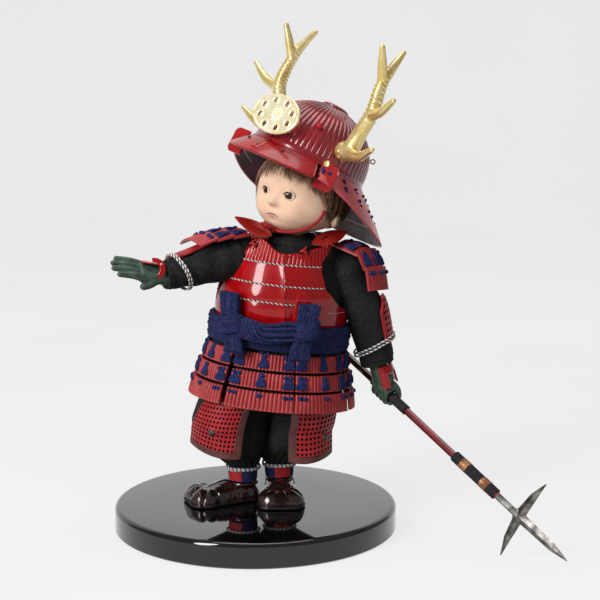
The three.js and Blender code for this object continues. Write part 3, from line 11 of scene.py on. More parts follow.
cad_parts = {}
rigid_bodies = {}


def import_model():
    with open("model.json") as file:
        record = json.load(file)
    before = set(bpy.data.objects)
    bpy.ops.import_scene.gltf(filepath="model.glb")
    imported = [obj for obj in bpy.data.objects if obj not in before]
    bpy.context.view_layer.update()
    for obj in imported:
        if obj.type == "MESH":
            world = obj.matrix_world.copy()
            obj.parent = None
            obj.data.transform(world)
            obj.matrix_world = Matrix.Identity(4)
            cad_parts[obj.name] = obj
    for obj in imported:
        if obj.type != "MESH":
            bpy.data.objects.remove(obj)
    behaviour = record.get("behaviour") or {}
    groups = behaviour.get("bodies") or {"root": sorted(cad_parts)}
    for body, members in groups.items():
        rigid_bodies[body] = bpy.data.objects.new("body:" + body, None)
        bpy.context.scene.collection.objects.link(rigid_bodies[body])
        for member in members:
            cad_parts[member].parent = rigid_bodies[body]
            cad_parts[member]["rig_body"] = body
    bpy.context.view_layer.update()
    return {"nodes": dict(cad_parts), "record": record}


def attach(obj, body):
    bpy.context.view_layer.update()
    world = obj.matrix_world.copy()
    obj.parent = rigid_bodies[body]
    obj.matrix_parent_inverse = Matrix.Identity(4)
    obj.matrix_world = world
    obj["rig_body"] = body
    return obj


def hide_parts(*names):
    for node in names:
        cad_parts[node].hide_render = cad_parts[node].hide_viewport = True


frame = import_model()
MM = 0.001
WELD = 3e-6
RANDOM = np.random.default_rng(7)
SIDES = (("right", -1), ("left", 1))


# Frames in millimetres
def turn(axis, degrees):
    return np.array(Matrix.Rotation(math.radians(degrees), 4, axis))


def shift(x, y, z):
    return np.array(Matrix.Translation((x, y, z)))


WORLD = np.eye(4)
TORSO = shift(14.5, 0, 118) @ turn("Y", 6.3)
NECK = TORSO @ shift(2.7, -3, 89.5) @ turn("Y", 6) @ turn("Z", -46)
HELMET = NECK @ shift(-1.3, -0.9, 52.3) @ turn("X", -15) @ turn("Y", 7.8) @ turn("Z", -18.7)
BRIM = HELMET @ turn("Z", 14)
CREST = BRIM @ turn("Z", -4) @ shift(0, -42.05, 0)


# Curves and surfaces
def unit(v):
    v = np.asarray(v, float)
    return v / np.linalg.norm(v, axis=-1, keepdims=True)


def shares(count, closed=False):
    """Even shares from 0 to 1; a closed run leaves the last one out."""
    return np.linspace(0, 1, count, endpoint=not closed)


def circle(count):
    """Even angles once around."""
    return 2 * np.pi * shares(count, True)


def oval(angle, wide, deep, z, x=0, y=0):
    """Points on level ovals; angle 0 is the front."""
    return np.stack([x + wide * np.sin(angle), y - deep * np.cos(angle), z + 0 * angle], -1)


def ease(x, low, high):
    s = np.clip((x - low) / (high - low), 0, 1)
    return s * s * (3 - 2 * s)


def through(knots, values, at):
    """Smooth curve through the values at the knots, read at some places."""
    knots = np.asarray(knots, float)
    values = np.asarray(values, float)
    slopes = np.gradient(values, knots, axis=0)
    at = np.clip(np.asarray(at, float), knots[0], knots[-1])
    i = np.clip(np.searchsorted(knots, at, side="right") - 1, 0, len(knots) - 2)
    h = (knots[i + 1] - knots[i])[..., None]
    s = (at - knots[i])[..., None] / h
    start = (1 + 2 * s) * (1 - s) ** 2 * values[i] + s * (1 - s) ** 2 * h * slopes[i]
    end = s * s * (3 - 2 * s) * values[i + 1] + s * s * (s - 1) * h * slopes[i + 1]
    return start + end


def sections(table, at):
    """Columns of a table of sections at some heights."""
    table = np.asarray(table, float)
    rows = through(table[:, 0], table[:, 1:], at)
    return [rows[..., k] for k in range(rows.shape[-1])]


def run_of(line):
    """Length along a line up to each of its points."""
    return np.r_[0, np.cumsum(np.linalg.norm(np.diff(line, axis=0), axis=1))]


def respaced(line, count):
    run = run_of(line)
    at = np.linspace(0, run[-1], count)
    return np.stack([np.interp(at, run, line[:, k]) for k in range(3)], -1)


def line_of(points, count):
    """Evenly spaced points on a smooth curve through the given ones."""
    points = np.asarray(points, float)
    chord = run_of(points)
    return respaced(through(chord, points, np.linspace(0, chord[-1], 24 * len(points))), count)


def carried(line, across=None, closed=False):
    """Direction along a line and two directions across it that follow it without twisting."""
    if closed:
        ahead = unit(np.roll(line, -1, 0) - np.roll(line, 1, 0))
    else:
        ahead = unit(np.gradient(line, axis=0))
    last = np.eye(3)[np.argmin(np.abs(ahead[0]))] if across is None else np.asarray(across, float)
    side = np.empty_like(line)
    for i, t in enumerate(ahead):
        last = unit(last - t * (last @ t))
        side[i] = last
    return ahead, side, np.cross(ahead, side)


def ripple(a, b, seed):
    """Soft pseudo-random waves over two numbers, about -1 to 1."""
    total = 0
    for k in range(5):
        w = np.random.default_rng(seed * 31 + k).uniform(-1, 1, 3)
        phase = a * (1 + k) * (0.6 + w[0] * 0.5) + b * (1 + k) * w[1] + 6.3 * w[2]
        total = total + np.sin(phase) / (1 + 0.5 * k)
    return total / 2.4


class Form:
    """Points and faces of one piece in millimetres, with the number of its look for each face."""

    def __init__(self):
        self.points = []
        self.faces = []
        self.looks = []
        self.count = 0

    def add(self, points, faces, look=0):
        faces = np.asarray(faces)
        self.points.append(np.asarray(points, float).reshape(-1, 3))
        self.faces.extend((faces + self.count).tolist())
        self.looks.extend(np.broadcast_to(look, len(faces)).tolist())
        self.count += len(self.points[-1])

    def net(self, grid, look=0, ring_u=False, ring_v=False):
        index = np.arange(grid.shape[0] * grid.shape[1]).reshape(grid.shape[:2])
        if ring_u:
            index = np.vstack([index, index[:1]])
        if ring_v:
            index = np.hstack([index, index[:, :1]])
        corners = [index[:-1, :-1], index[1:, :-1], index[1:, 1:], index[:-1, 1:]]
        self.add(grid, np.stack(corners, -1).reshape(-1, 4), look)

    def plate(self, surface, us, vs, inner, outer, looks=(0, 0, 0), ring=False):
        """Closed plate between two offsets of a surface, on even shares where a count is given.

        The looks are outside, inside and edges.
        """
        us = shares(us, ring) if np.isscalar(us) else us
        vs = shares(vs) if np.isscalar(vs) else vs
        u, v = np.meshgrid(us, vs, indexing="ij")
        top = surface(u, v, outer(u, v) if callable(outer) else outer)
        low = surface(u, v, inner)
        self.net(top, looks[0], ring)
        self.net(low, looks[1], ring)
        edges = [(top[:, 0], low[:, 0]), (top[:, -1], low[:, -1])]
        if not ring:
            edges += [(top[0], low[0]), (top[-1], low[-1])]
        for a, b in edges:
            self.net(np.stack([a, b]), looks[2], ring_v=ring)

    def rims(self, surface, lift, radius, look, sides, count, at_v=(), at_u=()):
        """Round rims that run over a whole surface, at some v and then at some u."""
        run = shares(count)
        for v in at_v:
            self.tube(surface(run, 0 * run + v, lift), radius, look, sides)
        for u in at_u:
            self.tube(surface(0 * run + u, run, lift), radius, look, sides)

    def tube(self, line, radius, look=0, sides=8, flat=1.0, across=None, closed=False):
        line = np.asarray(line, float)
        radius = np.broadcast_to(np.asarray(radius, float), len(line))
        ahead, side, up = carried(line, across, closed)
        if not closed:
            ends = [(0, -0.85, 0.05), (0, -0.6, 0.65), (-1, 0.6, 0.65), (-1, 0.85, 0.05)]
            extra = [line[i] + ahead[i] * reach * radius[i] for i, reach, _ in ends]
            line = np.vstack([extra[:2], line, extra[2:]])
            side = np.vstack([side[:1], side[:1], side, side[-1:], side[-1:]])
            up = np.vstack([up[:1], up[:1], up, up[-1:], up[-1:]])
            tips = [radius[i] * share for i, _, share in ends]
            radius = np.r_[tips[:2], radius, tips[2:]]
        a = circle(sides)
        wide = side[:, None] * np.cos(a)[:, None] + flat * up[:, None] * np.sin(a)[:, None]
        self.net(line[:, None] + wide * radius[:, None, None], look, closed, True)

    def rope(self, line, radius, looks, lay=2.2, closed=False, across=None):
        """Twisted cord: one strand for each look, turning once in lay diameters."""
        line = np.asarray(line, float)
        whole = np.vstack([line, line[:1]]) if closed else line
        turns = max(2, round(run_of(whole)[-1] / (2 * radius * lay)))
        count = turns * 9
        line = respaced(whole, count + 1)
        line = line[:-1] if closed else line
        _, side, up = carried(line, across, closed)
        angle = 2 * np.pi * turns * np.arange(len(line)) / count
        for k, look in enumerate(looks):
            a = (angle + 2 * np.pi * k / len(looks))[:, None]
            strand = line + 0.5 * radius * (np.cos(a) * side + np.sin(a) * up)
            self.tube(strand, 0.56 * radius, look, 6, closed=closed)

    def blob(self, centre, radii, look=0, axes=np.eye(3), rings=8, sides=12):
        lat, lon = np.meshgrid(np.linspace(-np.pi / 2, np.pi / 2, rings),
                               circle(sides), indexing="ij")
        ball = np.stack([np.cos(lat) * np.cos(lon), np.cos(lat) * np.sin(lon), np.sin(lat)], -1)
        self.net((ball * np.asarray(radii, float)) @ np.asarray(axes, float) + centre, look, ring_v=True)

    def lathe(self, profile, look=0, count=96):
        profile = np.asarray(profile, float)
        a = circle(count)[:, None]
        grid = np.stack([profile[:, 0] * np.cos(a), profile[:, 0] * np.sin(a), profile[:, 1] + 0 * a], -1)
        self.net(grid, look, True)

    def band(self, line, across, width, thick, look=0, ribs=0, sides=40, depth=0.4, stitch=0.0):
        """Soft band with rounded edges; ribs run along it and stitches across them."""
        line = np.asarray(line, float)
        ahead = unit(np.gradient(line, axis=0))
        across = unit(np.broadcast_to(across, line.shape))
        normal = unit(np.cross(ahead, across))
        a = circle(sides)
        flat = np.sign(np.cos(a)) * np.abs(np.cos(a)) ** 0.55
        high = np.sign(np.sin(a)) * np.abs(np.sin(a)) ** 0.7
        run = run_of(line)[:, None]
        groove = depth * (np.abs(np.cos(flat * np.pi * ribs / 2)) - 0.6) if ribs else 0 * flat
        knit = stitch * np.sin(run * 2 * np.pi / 1.7 + np.round(flat * ribs / 2) * np.pi)
        w = np.broadcast_to(width, len(line))[:, None]
        t = np.broadcast_to(thick, len(line))[:, None]
        rise = t / 2 * high + (groove + knit) * high
        reach = (w / 2 * flat)[..., None] * across[:, None]
        grid = line[:, None] + reach + rise[..., None] * normal[:, None]
        hubs = np.stack([np.broadcast_to(line[k], grid[0].shape) + 0.15 * (line[k] - line[m])
                         for k, m in ((0, 1), (-1, -2))])
        self.net(np.concatenate([hubs[:1], grid, hubs[1:]]), look, ring_v=True)

    def hank(self, line, wide, thick, strands, turns, across, look=0):
        """Bundle of knit strands around a line, turned by a share of a turn at each point."""
        line = np.asarray(line, float)
        _, side, up = carried(line, across)
        run = run_of(line)
        swell = np.sin(np.linspace(0, np.pi, len(line))) ** 0.3
        for k in range(strands):
            a = 2 * np.pi * (k / strands + turns)
            reach = (wide / 2 * np.cos(a))[:, None] * side + (thick / 2 * np.sin(a))[:, None] * up
            radius = 0.21 * thick + 0.16 * np.sin(run * 2 * np.pi / 1.6 + k * np.pi)
            self.tube(line + reach * swell[:, None], radius, look, 9)
        self.tube(line, 0.42 * thick, look, 14, 0.8 * np.mean(wide) / thick, up[0])

    def holed(self, surface, us, vs, hole, depth, offset, looks):
        """Face with a round hole in each cell; looks are face and hole."""
        du = (us[1] - us[0]) / 2
        dv = (vs[1] - vs[0]) / 2
        a = circle(8)
        round_ = np.stack([np.cos(a), np.sin(a)], -1)
        square = round_ / np.abs(round_).max(1, keepdims=True)
        for u in (us[:-1] + us[1:]) / 2:
            for v in (vs[:-1] + vs[1:]) / 2:
                rings = []
                for form, share, drop in ((square, 1, 0), (round_, hole, 0), (round_, hole, depth)):
                    at_u = u + du * share * form[:, 0]
                    at_v = v + dv * share * form[:, 1]
                    rings.append(surface(at_u, at_v, offset - drop))
                self.net(np.stack(rings[:2]), looks[0], ring_v=True)
                self.net(np.stack(rings[1:]), looks[1], ring_v=True)
                self.add(np.vstack([rings[2], rings[2].mean(0)]),
                         [[i, (i + 1) % 8, 8] for i in range(8)], looks[1])


SLOTS = {m["slot"] for m in frame["record"]["materials"]}


def placed(name, data):
    """New object in the scene."""
    thing = bpy.data.objects.new(name, data)
    bpy.context.scene.collection.objects.link(thing)
    return thing


def emit(node, form, looks, slot, place=WORLD, sharp=38, name=None, replace=True):
    """Makes the Blender object of a form, riding with the body of its CAD node."""
    assert slot in SLOTS, slot
    points = np.concatenate(form.points) @ place[:3, :3].T + place[:3, 3]
    mesh = bpy.data.meshes.new(name or node + ".look")
    mesh.from_pydata((points * MM).tolist(), [], form.faces)
    mesh.polygons.foreach_set("material_index", form.looks)
    for look in looks:
        mesh.materials.append(look)
    shape = bmesh.new()
    shape.from_mesh(mesh)
    bmesh.ops.remove_doubles(shape, verts=shape.verts, dist=WELD)
    bmesh.ops.recalc_face_normals(shape, faces=shape.faces)
    shape.to_mesh(mesh)
    shape.free()
    mesh.polygons.foreach_set("use_smooth", [True] * len(mesh.polygons))
    mesh.set_sharp_from_angle(angle=math.radians(sharp))
    piece = placed(mesh.name, mesh)
    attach(piece, frame["nodes"][node]["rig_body"])
    if replace:
        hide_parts(node)
    return piece


def melted(piece, voxel, rounds):
    """Joins the overlapping bodies of a piece into one skin and smooths it."""
    remesh = piece.modifiers.new("skin", "REMESH")
    remesh.mode = "VOXEL"
    remesh.voxel_size = voxel * MM
    smooth = piece.modifiers.new("smooth", "SMOOTH")
    smooth.iterations = rounds
    smooth.factor = 0.5
    ready = piece.evaluated_get(bpy.context.evaluated_depsgraph_get())
    mesh = bpy.data.meshes.new_from_object(ready)
    mesh.name = piece.data.name
    piece.modifiers.clear()
    piece.data = mesh
    mesh.polygons.foreach_set("use_smooth", [True] * len(mesh.polygons))
    return piece


# Materials
TONE_RANGE = (0.36, 0.64)
ROUGH_RANGE = (0.3, 0.7)


def srgb(code):
    values = [int(code[i:i + 2], 16) / 255 for i in (0, 2, 4)]
    return [v / 12.92 if v <= 0.04045 else ((v + 0.055) / 1.055) ** 2.4 for v in values] + [1.0]


def set_sockets(node, **values):
    """Sets inputs of a shader node by name, with _ for a blank."""
    for socket, value in values.items():
        node.inputs[socket.replace("_", " ")].default_value = value
    return node


def add_node(tree, kind, **values):
    return set_sockets(tree.nodes.new("ShaderNode" + kind), **values)


def noise(tree, where, scale):
    node = add_node(tree, "TexNoise", Scale=scale, Detail=3.0)
    tree.links.new(where, node.inputs["Vector"])
    return node.outputs["Fac"]


def cells(tree, where, scale):
    node = add_node(tree, "TexVoronoi", Scale=scale)
    tree.links.new(where, node.inputs["Vector"])
    return node.outputs["Distance"]


def paint(name, tones, scale, rough, bumps=(), coat=(0, 0.03), shine=0.5, **sockets):
    """Procedural finish: tones and roughness follow noise.

    Bumps are (kind, scale, depth in mm), coat is weight and roughness, shine the specular level.
    """
    tones = tones.split()
    look = bpy.data.materials.new(name)
    look.use_nodes = True
    tree = look.node_tree
    shader = tree.nodes["Principled BSDF"]
    where = add_node(tree, "TexCoord").outputs["Object"]
    speckle = noise(tree, where, scale)
    ramp = add_node(tree, "ValToRGB")
    places = np.linspace(*TONE_RANGE, len(tones))
    while len(ramp.color_ramp.elements) < len(tones):
        ramp.color_ramp.elements.new(0.5)
    for element, place, tone in zip(ramp.color_ramp.elements, places, tones):
        element.position = place
        element.color = srgb(tone)
    tree.links.new(speckle, ramp.inputs["Fac"])
    tree.links.new(ramp.outputs["Color"], shader.inputs["Base Color"])
    spread = add_node(tree, "MapRange", From_Min=ROUGH_RANGE[0], From_Max=ROUGH_RANGE[1],
                      To_Min=rough[0], To_Max=rough[1])
    tree.links.new(noise(tree, where, scale * 1.7), spread.inputs["Value"])
    tree.links.new(spread.outputs["Result"], shader.inputs["Roughness"])
    normal = None
    for kind, size, depth in bumps:
        bump = add_node(tree, "Bump", Strength=1.0, Distance=depth * MM)
        height = cells(tree, where, size) if kind == "cells" else noise(tree, where, size)
        tree.links.new(height, bump.inputs["Height"])
        if normal is not None:
            tree.links.new(normal, bump.inputs["Normal"])
        normal = bump.outputs["Normal"]
    if normal is not None:
        tree.links.new(normal, shader.inputs["Normal"])
    set_sockets(shader, Coat_Weight=coat[0], Coat_Roughness=coat[1], Specular_IOR_Level=shine, **sockets)
    return look


SCRATCH = ("noise", 900, 0.02)
ORANGE = ("noise", 260, 0.05)
CREPE = (("cells", 1150, 0.16), ("noise", 420, 0.25))
KNIT = (("cells", 1500, 0.22), ("noise", 900, 0.12))
RED = paint("lacquer_red", "93060b 9f080d ab0b11", 35, (0.18, 0.28), (SCRATCH,), coat=(0.6, 0.04),
            shine=0.12)
ROW_RED = paint("row_red", "932629 a12d2f af3636", 60, (0.4, 0.55), (SCRATCH,), coat=(0.12, 0.2),
                shine=0.35)
LEAF_RED = paint("leaf_red", "821512 931b17 a2231c", 45, (0.2, 0.34), (SCRATCH,), coat=(0.5, 0.1))
HELMET_RED = paint("helmet_red", "741019 85151e 951c26", 40, (0.18, 0.28), (ORANGE,), coat=(0.6, 0.08))
PEAK_RED = paint("peak_red", "8a0a10 990e14 a81419", 40, (0.24, 0.34), (ORANGE,), coat=(0.3, 0.1),
                 shine=0.3)
GUARD_RED = paint("guard_red", "b5444a c14d53 cc585d", 45, (0.3, 0.42), (ORANGE,), coat=(0.2, 0.15),
                  shine=0.3)
UNDERSIDE = paint("underside", "3a1c24 4a2630 5a303b", 80, (0.4, 0.55), (SCRATCH,), shine=0.25)
PERFORATED = paint("perforated_red", "94181e a11d24 ae262b", 120, (0.4, 0.55), (("noise", 700, 0.08),),
                   coat=(0.15, 0.2), shine=0.3)
BORDER = paint("border_leather", "431b18 522420 612e2a", 160, (0.45, 0.6), (("cells", 900, 0.12),))
# Black for the holes, and painted shade for the sheets set behind the gaps between skirt rows.
HOLE_AND_GAP_SHADE = paint("hole_black_and_gap_shade", "060505 0a0808 0e0b0b", 200, (0.8, 0.95), shine=0.1)
BLACK = paint("cloth_black", "18181a 1f1f21 282829", 500, (0.88, 1.0), CREPE, shine=0.25)
NAVY = paint("cloth_navy", "161b3e 1d244e 27305f", 420, (0.8, 0.95), KNIT, shine=0.3)
LACE = paint("lace_navy", "171d48 1f2759 29336b", 600, (0.75, 0.9), KNIT, shine=0.3)
WHITE_CORD = paint("cord_white", "c9c5c0 dad7d2 e8e5e0", 500, (0.7, 0.85), (("noise", 1500, 0.1),))
BLACK_CORD = paint("cord_black", "141212 1c1919 252121", 500, (0.7, 0.85), (("noise", 1500, 0.1),))
RED_CORD = paint("cord_red", "8c0a10 a10e14 b3141b", 500, (0.6, 0.8), (("noise", 1500, 0.12),))
SHOE = paint("leather_brown", "150a09 1e0e0c 2a1412", 110, (0.14, 0.3), (("cells", 520, 0.12),),
             coat=(0.6, 0.08))
SOLE = paint("sole", "0d0908 14100e 1b1613", 200, (0.4, 0.6), (("noise", 500, 0.1),))
GLOVE = paint("glove_green", "2a3a2f 35483b 435748", 160, (0.4, 0.55), (("noise", 700, 0.06),))
HAIR = paint("hair_brown", "2c1812 40261c 573728", 260, (0.45, 0.65), (("noise", 1600, 0.08),))
HAIR_TIP = paint("hair_light", "84553a 9b6a49 b2825d", 260, (0.45, 0.65), (("noise", 1600, 0.08),))
GOLD = paint("gold", "dec47c e9d392 f3e0a8", 90, (0.22, 0.34), (("noise", 150, 0.06),), Metallic=0.65)
PALE_GOLD = paint("pale_gold", "f2e2b2 f7ebc4 fbf3d6", 90, (0.25, 0.36), (SCRATCH,), Metallic=0.45)
STEEL = paint("steel", "4a4845 6c6a66 8e8c87", 150, (0.42, 0.6), (("noise", 240, 0.12), SCRATCH),
              Metallic=1.0)
COPPER = paint("copper", "8a5a3e ac7753 cb966f", 200, (0.3, 0.45), (SCRATCH,), Metallic=0.8)
SHAFT = paint("shaft_red", "5a0d12 6c1217 7d181d", 60, (0.2, 0.32), (SCRATCH,), coat=(0.5, 0.08),
              shine=0.25)
WOOD = paint("peg_wood", "a57a4c b58a5c c59b6c", 90, (0.6, 0.8), (("noise", 300, 0.1),))
STAND = paint("lacquer_black", "040405 060607 09090a", 30, (0.05, 0.09), (("noise", 60, 0.004),),
              coat=(0.6, 0.015), shine=0.35)
RIVET = paint("rivet_green", "252d2a 333d39 434e49", 700, (0.35, 0.5), (("noise", 900, 0.08),),
              Metallic=0.3)
# White of the eye, also used for the painted highlight dot on each iris.
EYE_WHITE_AND_GLINT = paint("eye_white_and_glint", "dcd3cc e6dfd9 efe9e4", 200, (0.15, 0.25))
IRIS = paint("iris", "241208 341b0e 472715", 900, (0.2, 0.3), shine=0.25)
LIP = paint("lip", "c88672 d0927e d89e8a", 300, (0.4, 0.5), (("noise", 900, 0.05),))
LASH = paint("lash", "120a08 1a100c 241712", 400, (0.5, 0.7), shine=0.2)
SKIN = paint("skin", "edc3a5 f1cbae f5d3b7", 60, (0.42, 0.55), (("noise", 800, 0.02),), shine=0.2,
             Subsurface_Weight=0.15, Subsurface_Scale=0.004)


# Stand
STAND_RADIUS = 100
STAND_HEIGHT = 18
STAND_EDGE = 3.5


def stand():
    corner = np.linspace(0, np.pi / 2, 12)
    edge = np.stack([np.cos(corner), np.sin(corner)], -1) * STAND_EDGE
    edge = edge + (STAND_RADIUS - STAND_EDGE, STAND_HEIGHT - STAND_EDGE)
    foot = [(0, 0), (STAND_RADIUS - 1.6, 0), (STAND_RADIUS - 0.8, 0.3), (STAND_RADIUS, 1.2)]
    profile = np.vstack([foot, edge, [(60, STAND_HEIGHT), (0, STAND_HEIGHT)]])
    form = Form()
    form.lathe(profile, 0, 192)
    emit("display_base", form, [STAND], "lacquer_black", sharp=30)


# Shoes, cuffs, ankle cords
FEET = {"right": ((-8.5, 5), -77), "left": ((18.5, 12), -5)}
SHOE_SECTIONS = [(-10, 6, 8.5), (-7.5, 9.5, 12), (0, 11, 13.8), (10, 12, 14.5), (20, 14.5, 14),
                 (30, 16.5, 13), (37, 15.5, 11.5), (41, 10, 8.5)]
TOE_MIDDLE = 25
WELT = 1.8
SHOE_FOOT = 18.35
CUFF_FOOT = 32.7
CUFF_RADIUS = 10.4
CUFF_HEIGHT = 11
ANKLE_CORD_RADIUS = 12.0


def shoe(side, ankle, degrees):
    place = shift(ankle[0], ankle[1], SHOE_FOOT) @ turn("Z", degrees)
    s = np.r_[np.linspace(-10, 30, 50), np.linspace(30.6, 41, 26)]
    a = np.linspace(0, np.pi, 73)
    s, a = np.meshgrid(s, a, indexing="ij")
    half, high = sections(SHOE_SECTIONS, s)
    toe = ease(s, 15, 31)
    round_toe = np.arctan2(half * np.cos(a), s - TOE_MIDDLE)
    from_middle = np.hypot(half * np.cos(a), s - TOE_MIDDLE)
    pleat = np.abs(np.cos(round_toe * 4.5)) ** 0.45 * ease(from_middle, 4, 11)
    seam = np.exp(-((a - np.pi / 2) / 0.07) ** 2) * ease(s, 4, 14)
    crease = 0.35 * ripple(s * 0.5, a * 3, 3) * ease(s, -5, 5) * (1 - toe)
    grow = 3.0 * (pleat - 0.8) * toe + 0.9 * seam * (1 - 0.8 * toe) + crease - 0.2
    x = (half + grow) * np.cos(a)
    z = WELT + (high - WELT + grow) * np.sin(a) ** 0.7
    upper = np.stack([x, -s, z], -1)
    form = Form()
    form.net(upper, 0)
    for end, hub in ((upper[0], (0, 9.6, 3)), (upper[-1], (0, -40.7, 3))):
        form.net(np.stack([end, np.broadcast_to(hub, end.shape)]), 0)
    rim = np.vstack([upper[:, 0], upper[::-1, -1]])
    rim = respaced(np.vstack([rim, rim[:1]]), 90)[:-1]
    middle = rim.mean(0)
    away = unit((rim - middle) * (1, 1, 0))
    sole = [np.broadcast_to(middle * (1, 1, 0), rim.shape)]
    for grow, height in ((-1.0, 0), (0.3, 0.5), (0.5, 1.2), (0.2, 2.0), (-1.5, 2.1)):
        sole.append((rim + away * grow) * (1, 1, 0) + (0, 0, height))
    form.net(np.stack(sole), 1, ring_v=True)
    for way in (-1, 1):
        stitched = np.linspace((way * 9.9, -8, 3), (way * 9.9, -8, 12.5), 8)
        form.tube(stitched, 0.35, 1, 5)
        for k in range(7):
            spot = stitched[k] + (way * 0.6, -1.3, 0)
            form.tube(np.stack([spot, spot + (0, 0.1, 0.8)]), 0.22, 2, 5)
    lace = line_of([(0, -4, 14.2), (0.4, -12, 13.9), (-0.3, -18, 13.1), (0.2, -26, 11.6)], 40)
    form.rope(lace, 0.55, (1, 1), 2)
    for k in range(5):
        spot = lace[4 + 8 * k]
        cross = line_of([spot + (-1.9, 0.5, -0.6), spot + (0, 0, 0.5), spot + (1.9, -0.5, -0.6)], 7)
        form.tube(cross, 0.4, 1, 5)
    form.tube(oval(circle(48), 9.3, 9.3, 12.4), 1.5, 0, 10, closed=True, across=(0, 0, 1))
    emit(side + "_shoe", form, [SHOE, SOLE, BORDER], "leather_brown", place, 50)


def ankle_cuff(side, place, patch):
    form = Form()
    low, high = patch

    def cloth(u, v, lift):
        a = 2 * np.pi * u
        fold = 0.35 * ripple(a * 2, v * 3, 5) + 0.25 * np.sin(v * 40 + np.sin(a) * 2)
        r = CUFF_RADIUS + lift + 0.5 * np.sin(np.pi * v) + fold * 0.6 - 0.5
        return np.stack([r * np.cos(a), r * np.sin(a), CUFF_HEIGHT * v], -1)

    def tab(u, v, lift):
        return cloth(low + (high - low) * u, 0.08 + 0.84 * v, lift)

    form.plate(cloth, 72, 20, -1.2, 0, ring=True)
    form.plate(tab, 14, 12, 0.1, 0.5, (1, 1, 1))
    emit(side + "_ankle_cuff", form, [NAVY, RED_CORD], "cloth_navy", place)


def ankle_cord(side, place):
    a = circle(60)
    form = Form()
    for z, phase in ((8.75, 0), (9.85, 1)):
        wave = z + 0.25 * np.sin(3 * a + phase)
        ring = np.stack([ANKLE_CORD_RADIUS * np.cos(a), ANKLE_CORD_RADIUS * np.sin(a), wave], -1)
        form.rope(ring, 0.62, (0, 1, 0), 2.4, True, (0, 0, 1))
    emit(side + "_ankle_cord", form, [WHITE_CORD, BLACK_CORD], "cord_braid", place)


# Trousers and thigh guards
TROUSERS = {
    "right": [(50, -11, 5.5, 16, 16), (60, -15, 4, 24, 26), (72, -17.5, 3, 27, 30), (88, -16, 1, 26.5, 30),
              (104, -11, 0, 24.5, 30)],
    "left": [(50, 20, 9.5, 16, 16), (60, 26, 4, 22, 25), (72, 31, 1, 24, 29), (88, 33.5, 0, 25, 30),
             (104, 35, 0, 24.5, 30)],
}
TROUSER_FOOT = 44.05
TROUSER_TOP = 117.5
CLOTH_GAP = 0.2
HIPS = {"right": -8.5, "left": 37.5}
GUARD_SPAN = {"right": (-80, 18), "left": (-24, 52)}
GUARD_FOOT = {"right": 56.5, "left": 52}
GUARD_TOP = 100
HOLE_PITCH = 3.2


def leg_ring(side, angle, z, offset):
    spot = FEET[side][0]
    top = (TROUSER_TOP, HIPS[side], 0, 22.5, 31)
    x, y, wide, deep = sections([(TROUSER_FOOT, *spot, 11.5, 11.5), *TROUSERS[side], top], z)
    return oval(angle, wide + offset, deep + offset, z, x, y)


def trouser(side, seed):
    def cloth(u, v, lift):
        a = 2 * np.pi * u
        z = TROUSER_FOOT + CLOTH_GAP + (TROUSER_TOP - CLOTH_GAP - TROUSER_FOOT) * v
        gather = 0.55 * np.sin(a * 17 + 1.5 * np.sin(a * 3)) * (1 - ease(z, 47, 66))
        fold = 0.7 * ripple(a * 2.2, z * 0.1, seed) - 0.55
        return leg_ring(side, a, z, lift + fold + gather)

    form = Form()
    form.plate(cloth, 180, 80, -2.5, 0, ring=True)
    emit(side + "_trouser_leg", form, [BLACK], "cloth_black")


def thigh_guard(side, knob):
    low, high = np.radians(GUARD_SPAN[side])
    inner_at_end = side == "right"

    def hide(u, v, lift):
        slant = math.radians(12) * (1 - v) if inner_at_end else 0
        outer = low + math.radians(26) * v if inner_at_end else low
        a = outer + (high - slant - outer) * u
        foot = GUARD_FOOT[side] + 7 * np.sin(a) ** 2
        z = foot + (GUARD_TOP - foot) * v
        flat = leg_ring(side, a, np.maximum(z, 72), lift)
        flat[..., 2] = z
        return flat

    wide = 28 * (high - low)
    tall = 42
    border = 5 / wide
    foot = 3.6 / tall
    thin = 0.012
    left, right = (thin, 1 - border) if inner_at_end else (border, 1 - thin)
    us = np.linspace(left, right, round(wide * (1 - border) / HOLE_PITCH) + 1)
    vs = np.linspace(foot, 1, round(tall * (1 - foot) / HOLE_PITCH) + 1)
    form = Form()
    form.holed(hide, us, vs, 0.6, 1.2, 2.65, (0, 2))
    u, v = np.meshgrid(us, vs, indexing="ij")
    form.net(hide(u, v, 0.9), 0)
    strips = [(np.linspace(0, left, 4), 30), (np.linspace(right, 1, 6), 30),
              (np.linspace(left, right, 40), np.linspace(0, foot, 5))]
    for su, sv in strips:
        form.plate(hide, su, sv, 0.75, 2.7, (1, 1, 1))
    form.rims(hide, 1.7, 0.95, 1, 8, 40, (), (0, 1))
    form.rims(hide, 1.7, 0.95, 1, 8, 60, (0,))
    inner = right if inner_at_end else left
    form.tube(hide(np.full(40, inner), np.linspace(foot, 1, 40), 2.5), 0.5, 1, 8)
    form.tube(hide(np.linspace(left, right, 60), np.full(60, foot), 2.5), 0.5, 1, 8)
    centre, _, normal = spot_on(hide, *knob, 2.6)
    form.blob(centre, (3.4, 3.4, 0.8), 0, frame_of(normal))
    form.blob(centre + 0.5 * normal, (2.6, 2.6, 1.5), 3, frame_of(normal), 10, 16)
    emit(side + "_thigh_guard", form, [PERFORATED, BORDER, HOLE_AND_GAP_SHADE, RIVET], "lacquer_red")


def spot_on(surface, u, v, lift, step=0.004):
    """Point of a surface with its direction along u and its outward normal."""
    at = lambda a, b, h: np.asarray(surface(np.array(a), np.array(b), h), float).reshape(3)
    centre = at(u, v, lift)
    along = unit(at(u + step, v, lift) - centre)
    normal = np.cross(along, unit(at(u, v + step, lift) - centre))
    if normal @ (at(u, v, lift + 1) - centre) < 0:
        normal = -normal
    return centre, along, unit(normal)


def frame_of(normal, along=None):
    """Three directions, the last of which is the normal."""
    normal = unit(normal)
    along = np.cross(normal, (0.3, 0.2, 0.93)) if along is None else along
    along = unit(along - normal * (normal @ along))
    return np.stack([along, np.cross(normal, along), normal])


